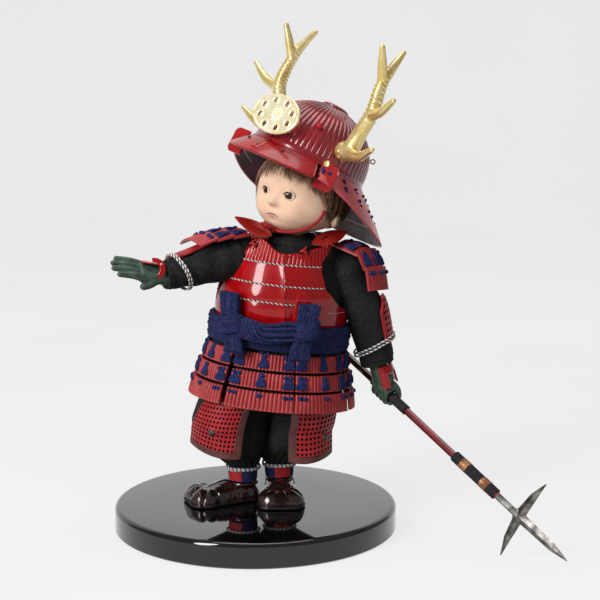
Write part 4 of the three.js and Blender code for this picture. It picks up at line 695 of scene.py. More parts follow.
# Torso and body armour
TORSO_SECTIONS = [(0, 47, 38, 0), (12.5, 46.6, 38, 0), (18, 43.5, 36.5, 0), (26, 43.3, 36.3, 0),
                  (40, 43.4, 38.3, 0), (56, 42.4, 37.5, 0), (70, 38.5, 33, 0), (80, 32, 27, 1),
                  (87, 22, 20, 2), (92, 14.5, 14.5, 3)]
CHEST_SECTIONS = [row for row in TORSO_SECTIONS if row[0] <= 70] + [(88, 34.5, 29.5, 1)]
FRONT_OPENING = np.array([(20, 90, 90), (39, 90, 90), (46.5, 84, 50), (57.5, 68, 33), (70, 61, 29),
                          (78, 57, 31), (84, 49, 39), (88, 44, 44)], float)
BACK_OPENING = np.array([(20, 90, 90), (39, 90, 90), (53, 74, 74), (62, 60, 60), (74, 50, 50),
                         (88, 44, 44)], float)
TORSO_TOP = 92
CHEST_RADIUS = 41
SIDE_PLATE_START = math.radians(4)
SIDE_PLATE_TOP = 58.2
SIDE_PLATE_CORNER = 8.0
ARMOUR_FOOT = 20
ARMOUR_HEIGHT = 68
ARMOUR_FACE = 3.05
ROPES = (73.5, 59.5, 47.5)
LAST_BAND_FOOT = 31
RIB_PITCH = math.radians(4.05)
RIDGE_WIDTH = math.radians(4.5)


def chest(angle, z, offset):
    wide, deep, aside = sections(CHEST_SECTIONS, z)
    return oval(angle, wide + offset, deep + offset, z, aside)


def torso():
    def cloth(u, v, lift):
        a = 2 * np.pi * u
        z = CLOTH_GAP + (TORSO_TOP - CLOTH_GAP) * v
        wide, deep, aside = sections(TORSO_SECTIONS, z)
        soft = 0.4 * ripple(a * 3, z * 0.12, 11) - 0.5 + lift
        return oval(a, wide + soft, deep + soft, z, aside)

    form = Form()
    form.plate(cloth, 120, 70, -3, 0, ring=True)
    a = circle(90)
    for radius, z, thick in ((17.5, 89.2, 3.1), (22, 86.8, 3.5)):
        wave = 0.5 * np.sin(a * 5 + z)
        roll = oval(a, radius, 0.9 * radius, z + wave - 0.8 * np.cos(a), 2.5)
        form.tube(roll, thick, 0, 14, closed=True, across=(0, 0, 1))
    emit("torso_core", form, [BLACK], "cloth_black", TORSO)


def side_plate(angle, z):
    """How far inside the edge of the left side plate a point of the chest is, in mm."""
    across = (angle - SIDE_PLATE_START) * CHEST_RADIUS
    down = SIDE_PLATE_TOP - z
    past = np.hypot(np.maximum(SIDE_PLATE_CORNER - across, 0), np.maximum(SIDE_PLATE_CORNER - down, 0))
    return SIDE_PLATE_CORNER - past


def ridge_at(z):
    return np.radians(np.interp(z, (38.5, 64, 83.5), (-4, -7, -13)))


def relief(angle, z, front):
    """Height of the armour's ribs, bands, ridge and side plate over its plain face."""
    ribs = 0.75 * (np.abs(np.cos(np.pi * angle / RIB_PITCH)) ** 0.55 - 1)
    ribs = ribs * ease(z, ROPES[0], ROPES[0] + 1.2)
    band = 0
    for top, foot in zip(ROPES, (*ROPES[1:], LAST_BAND_FOOT)):
        inside = (z <= top) & (z > foot)
        band = band + inside * 0.45 * np.sin(np.pi * np.clip((z - foot) / (top - foot), 0, 1)) ** 0.6
    ridge = 1.5 * np.exp(-np.abs((angle - ridge_at(z)) / RIDGE_WIDTH) ** 1.3) if front else 0
    side = 0.6 * ease(side_plate(angle, z), -0.3, 0.4) if front else 0
    return ribs + band + ridge + side - 0.3


def armhole(front, z, slit):
    """Angles of the armour's right and left edges at a height."""
    table = FRONT_OPENING if front else BACK_OPENING
    right = np.radians(np.interp(z, table[:, 0], table[:, 1]))
    left = np.radians(np.interp(z, table[:, 0], table[:, 2]))
    return slit - right, left - slit


def armour(front):
    def face(u, v, lift):
        share = 2 * u - 1
        dip = 8 * np.cos(share * np.pi / 2) ** 2 if front else 0
        z = ARMOUR_FOOT + (ARMOUR_HEIGHT - dip) * v
        right, left = armhole(front, z, 0.004)
        angle = right + (left - right) * u
        lift = lift + (relief(angle, z, front) if np.ndim(lift) or lift > 2 else 0)
        return chest(angle + turned, z, lift)

    turned = 0 if front else np.pi
    form = Form()
    form.plate(face, 300, 120, 1.25, ARMOUR_FACE, (0, 1, 0))
    form.rims(face, 2.2, 1.0, 0, 8, 80, (1,))
    for u in (0.0, 1.0):
        form.tube(face(np.full(60, u), np.linspace(0.26, 1, 60), 2.2), 1.0, 0, 8)
    for z in ROPES:
        right, left = armhole(front, z, 0.02)
        end = math.radians(3) if front and z == ROPES[2] else left
        angle = np.linspace(right, end, 90)
        lift = ARMOUR_FACE + relief(angle, np.full(90, z - 0.4), front) + 0.25
        form.rope(chest(angle + turned, np.full(90, z), lift), 0.62, (2, 3), 2.6)
    if front:
        high = np.linspace(30, 78.5, 90)
        ridge = ridge_at(high)
        form.tube(chest(ridge, high, 3.0 + relief(ridge, high, True)), 0.5, 0, 8)
        angle = np.radians(np.linspace(35, 60, 60))
        seam = np.full(60, 43.0)
        form.rope(chest(angle, seam, ARMOUR_FACE + relief(angle, seam, True) + 0.05), 0.3, (0, 2), 2.2)
        for degrees, z in ((-47, 84.4), (8, 83.6)):
            toggle(form, lambda u, v, h: chest(np.radians(u), v, h), degrees, z)
    looks = [RED, UNDERSIDE, WHITE_CORD, BLACK_CORD, RED_CORD, HOLE_AND_GAP_SHADE]
    emit("cuirass_front" if front else "cuirass_back", form, looks, "lacquer_red", TORSO)


TOGGLE_CORDS = ((0.85, 14, [(-2.6, 0, 0), (0, 0.4, 0.9), (2.6, 0, 0)]),
                (0.75, 14, [(-1.5, 0.8, 0), (0, 1.6, 1.3), (1.5, 3.4, 0)]),
                (0.65, 8, [(0, 0, 0.9), (2, -1.5, 1)]))


def toggle(form, surface, degrees, z):
    """Red cord tied through two dark holes."""
    for step in (-2.6, 2.6):
        centre, along, normal = spot_on(surface, degrees + step, z, 3.0, 0.5)
        form.blob(centre, (2.7, 1.7, 0.6), 5, frame_of(normal, along))
    centre, along, normal = spot_on(surface, degrees, z, 3.4, 0.5)
    axes = np.stack([along, np.cross(normal, along), normal])
    for radius, count, points in TOGGLE_CORDS:
        form.tube(line_of(centre + np.array(points) @ axes, count), radius, 4)


STRAP_X = 23
STRAP_WIDTH = 12
STRAP_THICK = 1.8
STRAP_LINE = [(-21.5, 88.35), (-15.5, 91.5), (0, 93.5), (15.5, 91.5), (21.5, 88.35)]


def strap(side, way):
    x = way * STRAP_X
    line = line_of([(x, y, z) for y, z in STRAP_LINE], 60)
    form = Form()
    form.band(line, (1, 0, 0), STRAP_WIDTH, STRAP_THICK, 0, 0, 36)
    for edge in (0.8 - STRAP_WIDTH / 2, STRAP_WIDTH / 2 - 0.8):
        form.rope(line + (edge, 0, STRAP_THICK / 2), 0.35, (1, 1), 2.5)
    emit(side + "_shoulder_strap", form, [LEAF_RED, RED_CORD], "lacquer_red", TORSO)


def leaf(side, way):
    along = unit((way * 0.86, 0.38, 0.33))
    face = unit((0, -0.65, 0.76))
    across = unit(np.cross(face, along))
    centre = np.array([way * 26.5, -21.6, 94.0 if way > 0 else 95.0])
    inner, outer = (-17, 12) if way > 0 else (-12, 17)

    def blade(u, v, lift):
        x = inner * (1 - u) ** 2 - 6 * u * (1 - u) + outer * u * u
        y = 2 * u * (1 - u) * 11.2 * (2 * v - 1)
        crown = 0.45 * (1 - np.abs(2 * v - 1)) * np.sin(np.pi * u)
        high = lift + crown * (np.asarray(lift) > 0.5)
        return centre + x[..., None] * along + y[..., None] * across + high[..., None] * face

    form = Form()
    form.plate(blade, np.linspace(0.001, 0.999, 60), 24, 0, 1.2)
    for v in (0.0, 1.0):
        form.tube(blade(np.linspace(0.02, 0.98, 60), np.full(60, v), 0.8), 0.45, 0, 8)
    slit = blade(np.linspace(0.27, 0.45, 12), np.full(12, 0.55), 1.75)
    form.tube(slit, 0.35, 1, 6, flat=0.5)
    tie = blade(np.array([0.34]), np.array([0.5]), 1.6)[0]
    root = tie - 5.6 * across
    for a, b in ((-4.05, -5.9), (3.78, -6.0), (-2.25, -7.4), (2.52, -7.6)):
        end = tie + a * along + b * across - 0.4 * face
        form.tube(line_of([root, (root + end) / 2 + 0.5 * face, end], 10), 0.75, 2)
    form.blob(tie - 5.4 * across, (1.7, 1.5, 1.3), 2)
    emit(side + "_leaf_plate", form, [LEAF_RED, HOLE_AND_GAP_SHADE, RED_CORD], "lacquer_red", TORSO)


# Sash and its bow
SASH_FOOT = 15
SASH_HEIGHT = 18
SASH_STRAND = 2.6


def sash():
    def knit(u, v, lift):
        a = 2 * np.pi * u
        z = SASH_FOOT + SASH_HEIGHT * v
        flow = z + 0.8 * np.sin(2 * a + 1) + 0.5 * ripple(a * 2, v, 17)
        strand = flow / SASH_STRAND
        rib = 0.95 * np.abs(np.cos(np.pi * strand)) + 0.12 * np.sin(a * 150 + np.round(strand) * np.pi)
        swell = 0.9 * np.sin(np.pi * v) ** 0.5 + 0.5 * np.sin(np.pi * 3 * v) ** 2
        point = chest(a, np.maximum(z, ARMOUR_FOOT), lift + (rib + swell - 0.9) * (lift > 5))
        point[..., 2] = z
        return point

    form = Form()
    form.plate(knit, 620, 46, 3.75, 6.15, ring=True)
    emit("waist_sash", form, [NAVY], "cloth_navy", TORSO, 60)


BOW_KNOTS = (
    {"middle": (-37, -34.5, 30), "loop": [(-39.5, -33, 39), (-40.5, -31, 50)],
     "end": [(-36, -38, 22), (-35, -41, 13)], "across": (0.8, -0.6, 0), "wide": (12.5, 14.5)},
    {"middle": (12, -47.5, 32), "loop": [(11.5, -47.5, 40), (12.5, -46, 48.5)],
     "end": [(9, -50, 22), (8, -51.5, 12.5)], "across": (1, 0, 0), "wide": (13, 15)},
)
BOW_FOLD = ((-1.7, -2), (-0.9, 0.3), (0.6, 0.5), (1.9, -1.6))


def bow():
    form = Form()
    rope = line_of([(-40, -33, 30), (-26, -43.5, 28.5), (-4, -48.8, 29), (13, -48, 31)], 150)
    share = shares(150)
    rope[:, 2] += 0.8 * np.sin(share * 10)
    turns = 0.75 * ease(share, 0.05, 0.5) + 0.12 * share
    form.hank(rope, 13 + 1.5 * np.sin(share * 9), 6.2, 9, turns, (0, 0, 1))
    for knot in BOW_KNOTS:
        middle = np.array(knot["middle"], float)
        across = unit(knot["across"])
        out = unit(np.cross(across, (0, 0, 1)))
        narrow, wide = knot["wide"]
        loop = line_of([middle - (0, 0, 4), *knot["loop"]], 90)
        for depth in (-1.2, 1.5):
            form.band(loop + out * depth, across, np.linspace(narrow, wide, 90), 3.0, 0, 9, 110, 0.9, 0.16)
        top = np.array(knot["loop"][-1])
        fold = line_of([top + out * reach + (0, 0, rise) for reach, rise in BOW_FOLD], 26)
        form.band(fold, across, wide, 2.4, 0, 9, 110, 0.7, 0.12)
        end = line_of([middle + out * 0.5, *knot["end"]], 80)
        form.band(end + out * 0.4, across, np.linspace(narrow - 2, wide, 80), 4.8, 0, 9, 110, 0.9, 0.16)
        tips = end[-1] + out * 0.4
        for k in range(10):
            root = tips + across * (k - 4.5) * wide / 10
            form.tube(np.stack([root, root - (0, 0, 1.2)]), 0.7, 0, 6)
        for rise, reach in ((2.6, 6.6), (-2.4, 7.2)):
            t = np.linspace(-0.4, np.pi + 0.4, 9)[:, None]
            lap = across * reach * np.cos(t) + out * (2.4 + 3.4 * np.sin(t))
            wrap = line_of(middle + lap + (rise + 2 * np.cos(t)) * (0, 0, 1), 90)
            form.band(wrap, (0.1, 0.05, 1), 7.2, 3.4, 0, 5, 72, 0.8, 0.16)
    emit("sash_bow", form, [NAVY], "cloth_navy", TORSO, 60)


# Skirt
PANELS = ("front_left", "side_left", "back_left", "back", "back_right", "side_right", "front_right")
ROW_HEIGHT = 12.5
PANEL_TOP = 12.4
ROW_GAP = 1.7
ROW_RIBS = 17
SKIRT_WIDE = 47
SKIRT_DEEP = 38
SKIRT_START = math.radians(9)


def row_ring(angle, z, row, offset):
    grown = 0.7 + 1.3 * row + 0.2 * (PANEL_TOP - z) + offset
    return oval(angle, SKIRT_WIDE + grown, SKIRT_DEEP + grown, z)


def lace(form, look, surface, u, v, lift, pair, tail):
    """One bead of lace or two side by side, with strands that flare below."""
    centre, along, normal = spot_on(surface, u, v, lift)
    up = np.cross(normal, along)
    up = up if up[2] > 0 else -up
    reach = 1.8 if pair else 0
    size = (1.75, 1.5, 1.2) if pair else (2.3, 1.6, 1.2)
    for way in (-1, 1) if pair else (0,):
        form.blob(centre + way * reach * along + 0.4 * normal, size, look, frame_of(normal, along), 8, 12)
    if not tail:
        return
    wide = 3.5 if pair else 2.8
    count = 7 if pair else 6
    for k in range(count):
        s = 2 * k / (count - 1) - 1
        root = centre + s * 0.4 * wide * along - 1.2 * up + 0.3 * normal
        mid = centre + s * 0.85 * wide * along - (1.2 + 0.5 * tail) * up + (1.2 - 0.4 * s * s) * normal
        tip = centre + s * 1.05 * wide * along - (1.2 + tail - 0.4 * s * s) * up + 0.6 * normal
        form.tube(line_of([root, mid, tip], 10), np.linspace(0.6, 0.8, 10), look, 7)


def skirt_panel(index, name):
    pitch = 2 * np.pi / len(PANELS)
    last = len(PANELS) - 1
    seam = math.radians(2.1)
    front_seam = math.radians(0.5)
    low = SKIRT_START + index * pitch + (front_seam if index == 0 else seam)
    high = SKIRT_START + (index + 1) * pitch - (front_seam if index == last else seam)
    form = Form()
    for row in range(3):
        head = PANEL_TOP - row * ROW_HEIGHT
        foot = head - ROW_HEIGHT + (ROW_GAP if row < 2 else 0)

        def face(u, v, lift, row=row, foot=foot, head=head):
            scallop = 0.7 * (np.abs(np.sin(np.pi * ROW_RIBS * u)) - 1) * v ** 10
            return row_ring(low + (high - low) * u, foot + (head - foot) * v + scallop, row, lift)

        def ribbed(u, v):
            rib = 0.85 * (np.abs(np.sin(np.pi * ROW_RIBS * u)) ** 0.6 - 1) * ease(v, 0, 0.04)
            return 1.6 + rib + 0.25 * np.sin(np.pi * v)

        form.plate(face, ROW_RIBS * 9 + 1, 14, 0, ribbed, (0, 1, 0))
        if row < 2:
            # Painted shade: a black sheet set behind the gap under each of the upper two rows makes the gap
            # between rows read dark.
            gap_shade_sheet = lambda u, v, lift: row_ring(low + (high - low) * u, foot + 1.2 - 4.2 * v, row, lift)
            form.plate(gap_shade_sheet, np.linspace(0.01, 0.99, 40), 4, -0.6, -0.1, (3, 3, 3))
        for u, pair in ((0.1, True), (0.5, False), (0.9, True)):
            place, tail = (0.83, 6.4) if row < 2 else (0.8, 0)
            lace(form, 2, face, u, place, 1.7, pair, tail)
            for du in (-0.05, 0.05) if row == 0 else ():
                root = face(np.array([u + du]), np.array([0.95]), 1.2)[0]
                form.tube(np.stack([root, root + (0, 0, 0.6), root + (0, 0, 1.2)]), 0.9, 2, 6)
    emit("skirt_panel_" + name, form, [ROW_RED, UNDERSIDE, LACE, HOLE_AND_GAP_SHADE], "lacquer_red", TORSO)


# Arms
ARMS = {
    "right": {"line": [(-32, -3, 74), (-45, -10, 70.5), (-65, -19, 64), (-86, -28, 58)],
              "radii": [16.5, 15.5, 12.5, 10], "face": (-0.1, 0.3, 0.95)},
    "left": {"line": [(26, -3, 77), (43, -7, 68), (56.5, -10.7, 46), (70.6, -9.8, 7.5)],
             "radii": [15, 16.8, 15.4, 12.4], "face": (0.9, -0.3, 0.3)},
}
ARM_KNOTS = shares(4)
SHOULDER_DOME = 9.0


def arm(side, t, angle, offset):
    """Point on a sleeve at a share of its length and an angle from its guard's middle."""
    data = ARMS[side]
    t = np.asarray(t, float)
    step = 0.01
    centre = through(ARM_KNOTS, data["line"], t)
    ahead = unit(through(ARM_KNOTS, data["line"], np.minimum(t + step, 1))
                 - through(ARM_KNOTS, data["line"], np.maximum(t - step, 0)))
    face = np.asarray(data["face"], float)
    face = unit(face - ahead * (ahead @ face)[..., None])
    aside = np.cross(ahead, face)
    if side == "left":
        offset = offset - 4 * np.exp(-((t - 0.5) / 0.12) ** 2) * np.maximum(np.cos(angle), 0)
    radius = (np.interp(t, ARM_KNOTS, data["radii"]) + offset)[..., None]
    return centre + radius * (np.cos(angle)[..., None] * face + np.sin(angle)[..., None] * aside)


def sleeve(side, seed):
    def cloth(u, v, lift):
        a = 2 * np.pi * u
        fold = 0.75 * ripple(a * 1.5, v * 16, seed) + 0.3 * np.sin(v * 30 + 2 * np.sin(a + seed))
        drape = np.clip(fold, -1.1, 0.9) * ease(v, 0.05, 0.2) * (1 - 0.7 * ease(v, 0.93, 1)) - 0.6
        return arm(side, v, a, lift + drape)

    form = Form()
    us = shares(130, True)
    form.plate(cloth, us, 110, -2, 0, ring=True)
    hem = cloth(us, np.full(130, 0.965), 0.1)
    form.tube(hem, 0.3, 0, 6, closed=True, across=unit(hem[0] - hem[65]))
    start = cloth(us, np.zeros(130), 0)
    middle = start.mean(0)
    inward = unit(middle - cloth(us, np.full(130, 0.06), 0).mean(0))
    turns = np.linspace(0, np.pi / 2, 14)[:, None, None]
    dome = middle + (start - middle) * np.cos(turns) + SHOULDER_DOME * np.sin(turns) * inward
    form.net(dome, 0, ring_v=True)
    emit(side + "_sleeve", form, [BLACK], "cloth_black", TORSO)


def forearm_guard(side):
    span = math.radians(42)

    def face(u, v, lift):
        if side == "left":
            return arm(side, 0.62 + 0.26 * v, span * (0.35 + 0.65 * ease(v, 0, 0.4)) * (2 * u - 1), lift)
        return arm(side, 0.40 + 0.48 * v, span * (0.7 + 0.3 * v) * (2 * u - 1), lift)

    form = Form()
    if side == "left":
        us = np.linspace(0.06, 0.94, 7)
        vs = np.linspace(0.05, 0.95, 8)
        form.holed(face, us, vs, 0.58, 0.8, 1.95, (0, 1))
        u, v = np.meshgrid(us, vs, indexing="ij")
        form.net(face(u, v, 0.5), 0)
        for low, high in ((0, us[0]), (us[-1], 1)):
            form.plate(face, np.linspace(low, high, 3), 30, 0.35, 1.95)
        for low, high in ((0, vs[0]), (vs[-1], 1)):
            form.plate(face, np.linspace(us[0], us[-1], 30), np.linspace(low, high, 3), 0.35, 1.95)
    else:
        splints = lambda u, _: 1.4 + 0.8 * np.abs(np.cos(np.pi * 3 * u)) ** 0.6
        form.plate(face, 90, 30, 0.35, splints)
    form.rims(face, 1.2, 0.75, 0, 7, 40, (0, 1), (0, 1))
    for v in (0.1, 0.9):
        for u in (0.02, 0.98):
            centre, _, normal = spot_on(face, u, v, 1.8)
            form.blob(centre, (0.8, 0.8, 0.6), 2, frame_of(normal))
    emit(side + "_forearm_guard", form, [PERFORATED, HOLE_AND_GAP_SHADE, LACE], "lacquer_red", TORSO)


def wrist_cord(side):
    a = circle(70)
    form = Form()
    axis = unit(arm(side, 1.0, 0 * a, 0).mean(0) - arm(side, 0.9, 0 * a, 0).mean(0))
    tilt = 0.05 if side == "right" else -0.032
    places = (0.85, 0.875) if side == "right" else (0.872, 0.89)
    over_guard = 1.3 * np.exp(-(np.minimum(a, 2 * np.pi - a) / 0.85) ** 4)
    for place in places:
        ring = arm(side, place + tilt * (np.cos(a) - 0.4), a, 1.2 + over_guard)
        form.rope(ring, 0.68, (0, 1, 0), 2.4, True, axis)
    emit(side + "_wrist_cord", form, [WHITE_CORD, BLACK_CORD], "cord_braid", TORSO)


SHOULDER_RIBS = 12
SHOULDERS = {
    "right": {"edges": [(-36.3, -5, 91.6), (-47.5, -8.6, 88.8), (-58.5, -12.5, 85), (-70, -17, 80)],
              "across": (-0.38, 0.92, -0.1), "half": 15},
    "left": {"edges": [(38.5, -10.5, 91.2), (53.5, -19, 86.8), (60, -20.5, 75), (63.6, -21.5, 60.5)],
             "across": (-0.66, -0.75, 0), "half": 13},
}


def shoulder_guard(side):
    edges = np.array(SHOULDERS[side]["edges"], float)
    across = unit(SHOULDERS[side]["across"])
    half = SHOULDERS[side]["half"]
    form = Form()
    for row in range(3):
        fall = edges[row + 1] - edges[row]
        normal = unit(np.cross(across, fall))
        start = -0.1 if row else 0.0

        def face(u, v, lift, row=row, fall=fall, normal=normal, start=start):
            share = 2 * u - 1
            high = lift + row * 1.25 - 4 * share ** 2
            down = fall * (start + (1 - start) * v)[..., None]
            return edges[row] + down + across * (half * share)[..., None] + normal * high[..., None]

        ribs = lambda u, _: 1.5 + 0.7 * (np.abs(np.sin(np.pi * SHOULDER_RIBS * u)) ** 0.6 - 1)
        form.plate(face, SHOULDER_RIBS * 9 + 1, 12, 0, ribs, (0, 1, 0))
        reach = np.linalg.norm(fall)
        for u in (0.14, 0.5, 0.86):
            if row < 2:
                hanging(form, 2, face, u, 0.2, 1.6, min(0.62 * reach, 8))
            else:
                for du in (-0.05, 0.05):
                    hanging(form, 2, face, u + du, 0.25, 1.6, 0)
    emit(side + "_shoulder_guard", form, [ROW_RED, UNDERSIDE, LACE], "lacquer_red", TORSO)


def hanging(form, look, face, u, v, lift, tail):
    """Lace bead whose strands run along the row and flare."""
    centre, along, normal = spot_on(face, u, v, lift)
    down = unit(spot_on(face, u, v + 0.02, lift)[0] - centre)
    form.blob(centre + 0.4 * normal, (1.9, 1.5, 1.1), look, frame_of(normal, along), 7, 10)
    for k in range(5 if tail else 0):
        s = (k - 2) / 2
        course = ((s, 1.2, 0.3), (2.1 * s, 0.6 * tail, 0.9), (2.7 * s, tail + 1, 0.4))
        points = centre + np.array(course) @ np.stack([along, down, normal])
        form.tube(line_of(points, 8), np.linspace(0.65, 0.85, 8), look, 7)


# Hands
WRIST = np.array([-86.5, -28.2, 58.2])
KNUCKLES = np.array([-103, -34, 60.5])
FINGERTIPS = np.array([-121, -38.2, 63.4])
HAND_ACROSS = unit((0.15, -0.8, -0.58))
RIGHT_FINGERS = ((-1.5, 0.88), (-0.5, 1.0), (0.5, 1.0), (1.5, 0.84))
THUMB = [(-88, -31.5, 57), (-92, -34.2, 55.2), (-96, -37, 52.5), (-100, -39, 51)]


def right_hand():
    reach = KNUCKLES - WRIST
    back = unit(np.cross(reach, HAND_ACROSS))
    form = Form()
    palm = line_of([WRIST - 0.25 * reach, WRIST + 0.3 * reach, KNUCKLES], 30)
    form.band(palm, HAND_ACROSS, np.linspace(13, 18, 30), np.linspace(9.5, 7, 30), 0, 0, 40)
    for place, long in RIGHT_FINGERS:
        knuckle = KNUCKLES + HAND_ACROSS * place * 4.3 - 0.2 * reach
        tip = knuckle + long * (FINGERTIPS + HAND_ACROSS * place * 5 - knuckle)
        bend = (knuckle + tip) / 2 + 1.0 * back
        form.tube(line_of([knuckle, bend, tip], 22), np.linspace(2.8, 2.0, 22), 0, 14)
    form.tube(line_of(THUMB, 22), np.linspace(4.0, 2.6, 22), 0, 14)
    form.blob(WRIST + 0.45 * reach + 2.5 * HAND_ACROSS - 1.0 * back, (6.5, 5, 4.2), 0)
    melted(emit("right_hand", form, [GLOVE], "glove_green", TORSO), 0.45, 4)


GRIP = np.array([79.2, -8.9, -12.7])
AIM = unit((0.562, -0.718, -0.411))
LEFT_FINGERS = ((-6.3, 1.0), (-2.2, 1.06), (1.8, 1.05), (5.4, 0.95))
FIST_BORE = 3.6
FIST_SECTIONS = [(-27, 8.2), (-22, 9), (-11, 9.8), (0, 9.8)]


def fist_frame():
    end = through(ARM_KNOTS, ARMS["left"]["line"], np.array(1.0))
    down = unit(GRIP - end)
    data = np.asarray(ARMS["left"]["face"], float)
    ahead = unit(end - through(ARM_KNOTS, ARMS["left"]["line"], np.array(0.98)))
    face = unit(data - ahead * (ahead @ data))
    side = unit(np.cross(down, face))
    return down, side, np.cross(side, down)


def left_hand():
    down, side, _ = fist_frame()
    form = Form()
    wrist = line_of([GRIP - 30 * down, GRIP - 20 * down, GRIP - 9 * down, GRIP - 3 * down], 40)
    form.tube(wrist, np.interp(shares(40), (0, 0.5, 1), (7.4, 8.0, 8.6)), 0, 20, 0.8, side)
    toward = unit(-down - AIM * (AIM @ -down))
    round_ = np.cross(AIM, toward)
    for place, reach in LEFT_FINGERS:
        turns = np.linspace(-0.35 * np.pi, 1.25 * np.pi * reach, 30)
        radius = FIST_BORE + 1.9 + 1.4 * np.cos(turns) ** 2 * (np.cos(turns) > 0)
        centre = GRIP + AIM * place
        spoke = np.cos(turns)[:, None] * toward + np.sin(turns)[:, None] * round_
        form.tube(centre + radius[:, None] * spoke, np.linspace(2.0, 1.8, 30), 0, 14)
    thumb = [GRIP - 12 * down - AIM * 4, GRIP + AIM * 7.5 - round_ * 4.8 + toward * 3,
             GRIP + AIM * 8.5 - round_ * 4.4 - toward * 3, GRIP + AIM * 7 + round_ * 1 - toward * 5.4]
    form.tube(line_of(thumb, 26), np.linspace(3.0, 2.1, 26), 0, 14)
    for drop, radii in ((9, (8.2, 7.6, 7.8)), (2, (7.4, 5.9, 6.2))):
        form.blob(GRIP - drop * down, radii, 0, np.stack([AIM, round_, toward]))
    melted(emit("left_hand", form, [GLOVE], "glove_green", TORSO), 0.45, 4)


def right_hand_guard():
    reach = KNUCKLES - WRIST
    share = np.linspace(0.2, 0.95, 30)[:, None]
    form = Form()
    line = WRIST + share * reach + (0, 2, 6.2) + np.sin(np.pi * share) * (0, 0, 0.7)
    form.band(line, (-0.33, 0.94, 0), np.interp(share[:, 0], (0.2, 0.7, 0.95), (12, 12, 6)), 1.3, 0, 0, 32)
    turns = np.linspace(-1.75, 1.75, 40)[:, None]
    spoke = np.cos(turns) * (0.98, -0.14, 0.11) + np.sin(turns) * (-0.09, 0.16, 0.98)
    strap_line = WRIST + (-7.2, -6.6, 4.8) + 6.0 * spoke
    form.band(strap_line, spoke, np.interp(turns[:, 0], (-1.75, 0, 1.75), (3, 4.2, 3)), 1.4, 0, 0, 28)
    form.blob(strap_line[26] + (0, -0.8, 0), (0.7, 0.7, 0.7), 1)
    emit("right_hand_guard", form, [RED, WHITE_CORD], "lacquer_red", TORSO)


def left_hand_guard():
    down, side, front = fist_frame()

    def face(u, v, lift):
        place = -20 + 15 * v
        radius = sections(FIST_SECTIONS, place)[0] + lift
        angle = np.radians(-50 + 130 * u)
        return (GRIP + down * place[..., None] + side * (radius * np.sin(angle))[..., None]
                + front * ((0.85 * radius + 0.35) * np.cos(angle))[..., None])

    form = Form()
    for us, vs in (((0, 1), (0, 0.34)), ((0, 0.3), (0.34, 1)), ((0.8, 1), (0.34, 1))):
        part = lambda u, v, h: face(us[0] + (us[1] - us[0]) * u, vs[0] + (vs[1] - vs[0]) * v, h)
        form.plate(part, 30, 20, 0.7, 2.1)
        form.rims(part, 1.5, 0.7, 0, 8, 30, (0, 1), (0, 1))
    emit("left_hand_guard", form, [RED], "lacquer_red", TORSO)


# Spear
SPEAR_SIDE = unit(np.cross((0, 0, 1), AIM))
SPEAR = np.eye(4)
SPEAR[:3, :3] = np.stack([SPEAR_SIDE, np.cross(AIM, SPEAR_SIDE), AIM], -1)
SPEAR[:3, 3] = GRIP
SPEAR = TORSO @ SPEAR


def spear_shaft():
    form = Form()
    form.lathe([(0, -105), (2.2, -105), (2.7, -104.2), (2.7, 116.6), (2.4, 117), (0, 117)], 0, 8)
    form.lathe([(2.75, -104), (3.1, -103.6), (3.1, -97), (2.75, -96.6)], 1, 32)
    emit("spear_shaft", form, [SHAFT, COPPER], "lacquer_red", SPEAR, 20)


def wound(form, span, core, groove, depth, pitch, count, look=0, bulge=0.7):
    """Cord or wire wound around the shaft over a span of it."""
    z = np.linspace(*span, count)
    ridge = groove + depth * np.abs(np.sin(np.pi * z / pitch)) ** bulge
    form.lathe(np.vstack([[(core, span[0])], np.stack([ridge, z], -1), [(core, span[1])]]), look, 32)


def grip_wrap():
    form = Form()
    wound(form, (-13, 23), 2.9, 3.05, 0.5, 1.5, 181)
    emit("grip_wrap", form, [BLACK_CORD], "cloth_black", SPEAR)


def head_wrap():
    form = Form()
    wound(form, (74, 115.5), 3.05, 3.35, 0.6, 1.3, 240)
    for place in (85, 105):
        wound(form, (place - 3.2, place + 3.2), 3.3, 3.85, 0.25, 0.8, 50, 1, 1)
    emit("head_wrap", form, [BLACK_CORD, COPPER], "cloth_black", SPEAR)


# Head
HEAD_SECTIONS = [(3.6, 8.5, 9, 7), (6.5, 15, 15, 8), (12, 24.4, 23.2, 5), (20, 31, 28.5, 1.5),
                 (28, 32, 31, 0), (36, 31.5, 31.5, 0), (46, 28.5, 29, -0.5), (54, 22, 23, -1),
                 (60, 12.5, 13.5, -1), (62.5, 4, 4.5, -1)]
FACE_RADIUS = 31
EYE_X = 10.4
EYE_Z = 29.5
MOUTH_Z = 14.7
MOUTH_HALF = 6.4


def plain_head(angle, z, offset):
    wide, deep, forward = sections(HEAD_SECTIONS, z)
    return oval(angle, wide + offset, deep + offset, z, 0, -forward)


def head_skin(angle, z, offset):
    """Head with nose, eye hollows, cheeks and lips."""
    x = ((angle + np.pi) % (2 * np.pi) - np.pi) * FACE_RADIUS
    bump = lambda cx, cz, sx, sz: np.exp(-((x - cx) / sx) ** 2 - ((z - cz) / sz) ** 2)
    nose = 3.3 * bump(0, 22.6, 2.7, 2.4) + 1.5 * bump(0, 26, 2.6, 5)
    both = lambda cx, *form: bump(-cx, *form) + bump(cx, *form)
    wings = 0.9 * both(2.6, 22, 1.6, 1.5)
    eyes = -1.5 * both(EYE_X, EYE_Z - 0.2, 5.5, 4)
    cheeks = 1.5 * both(16, 18.5, 8, 6)
    lips = 0.9 * bump(0, MOUTH_Z, 6, 3.2) - 0.7 * bump(0, MOUTH_Z, 5, 0.9) - 0.6 * bump(0, 11.2, 5, 1.8)
    return plain_head(angle, z, offset + nose + wings + eyes + cheeks + lips)


def on_face(x, z, lift):
    """Point over the face at a width across it and a height."""
    return head_skin(np.asarray(x, float) / FACE_RADIUS, np.asarray(z, float), lift)


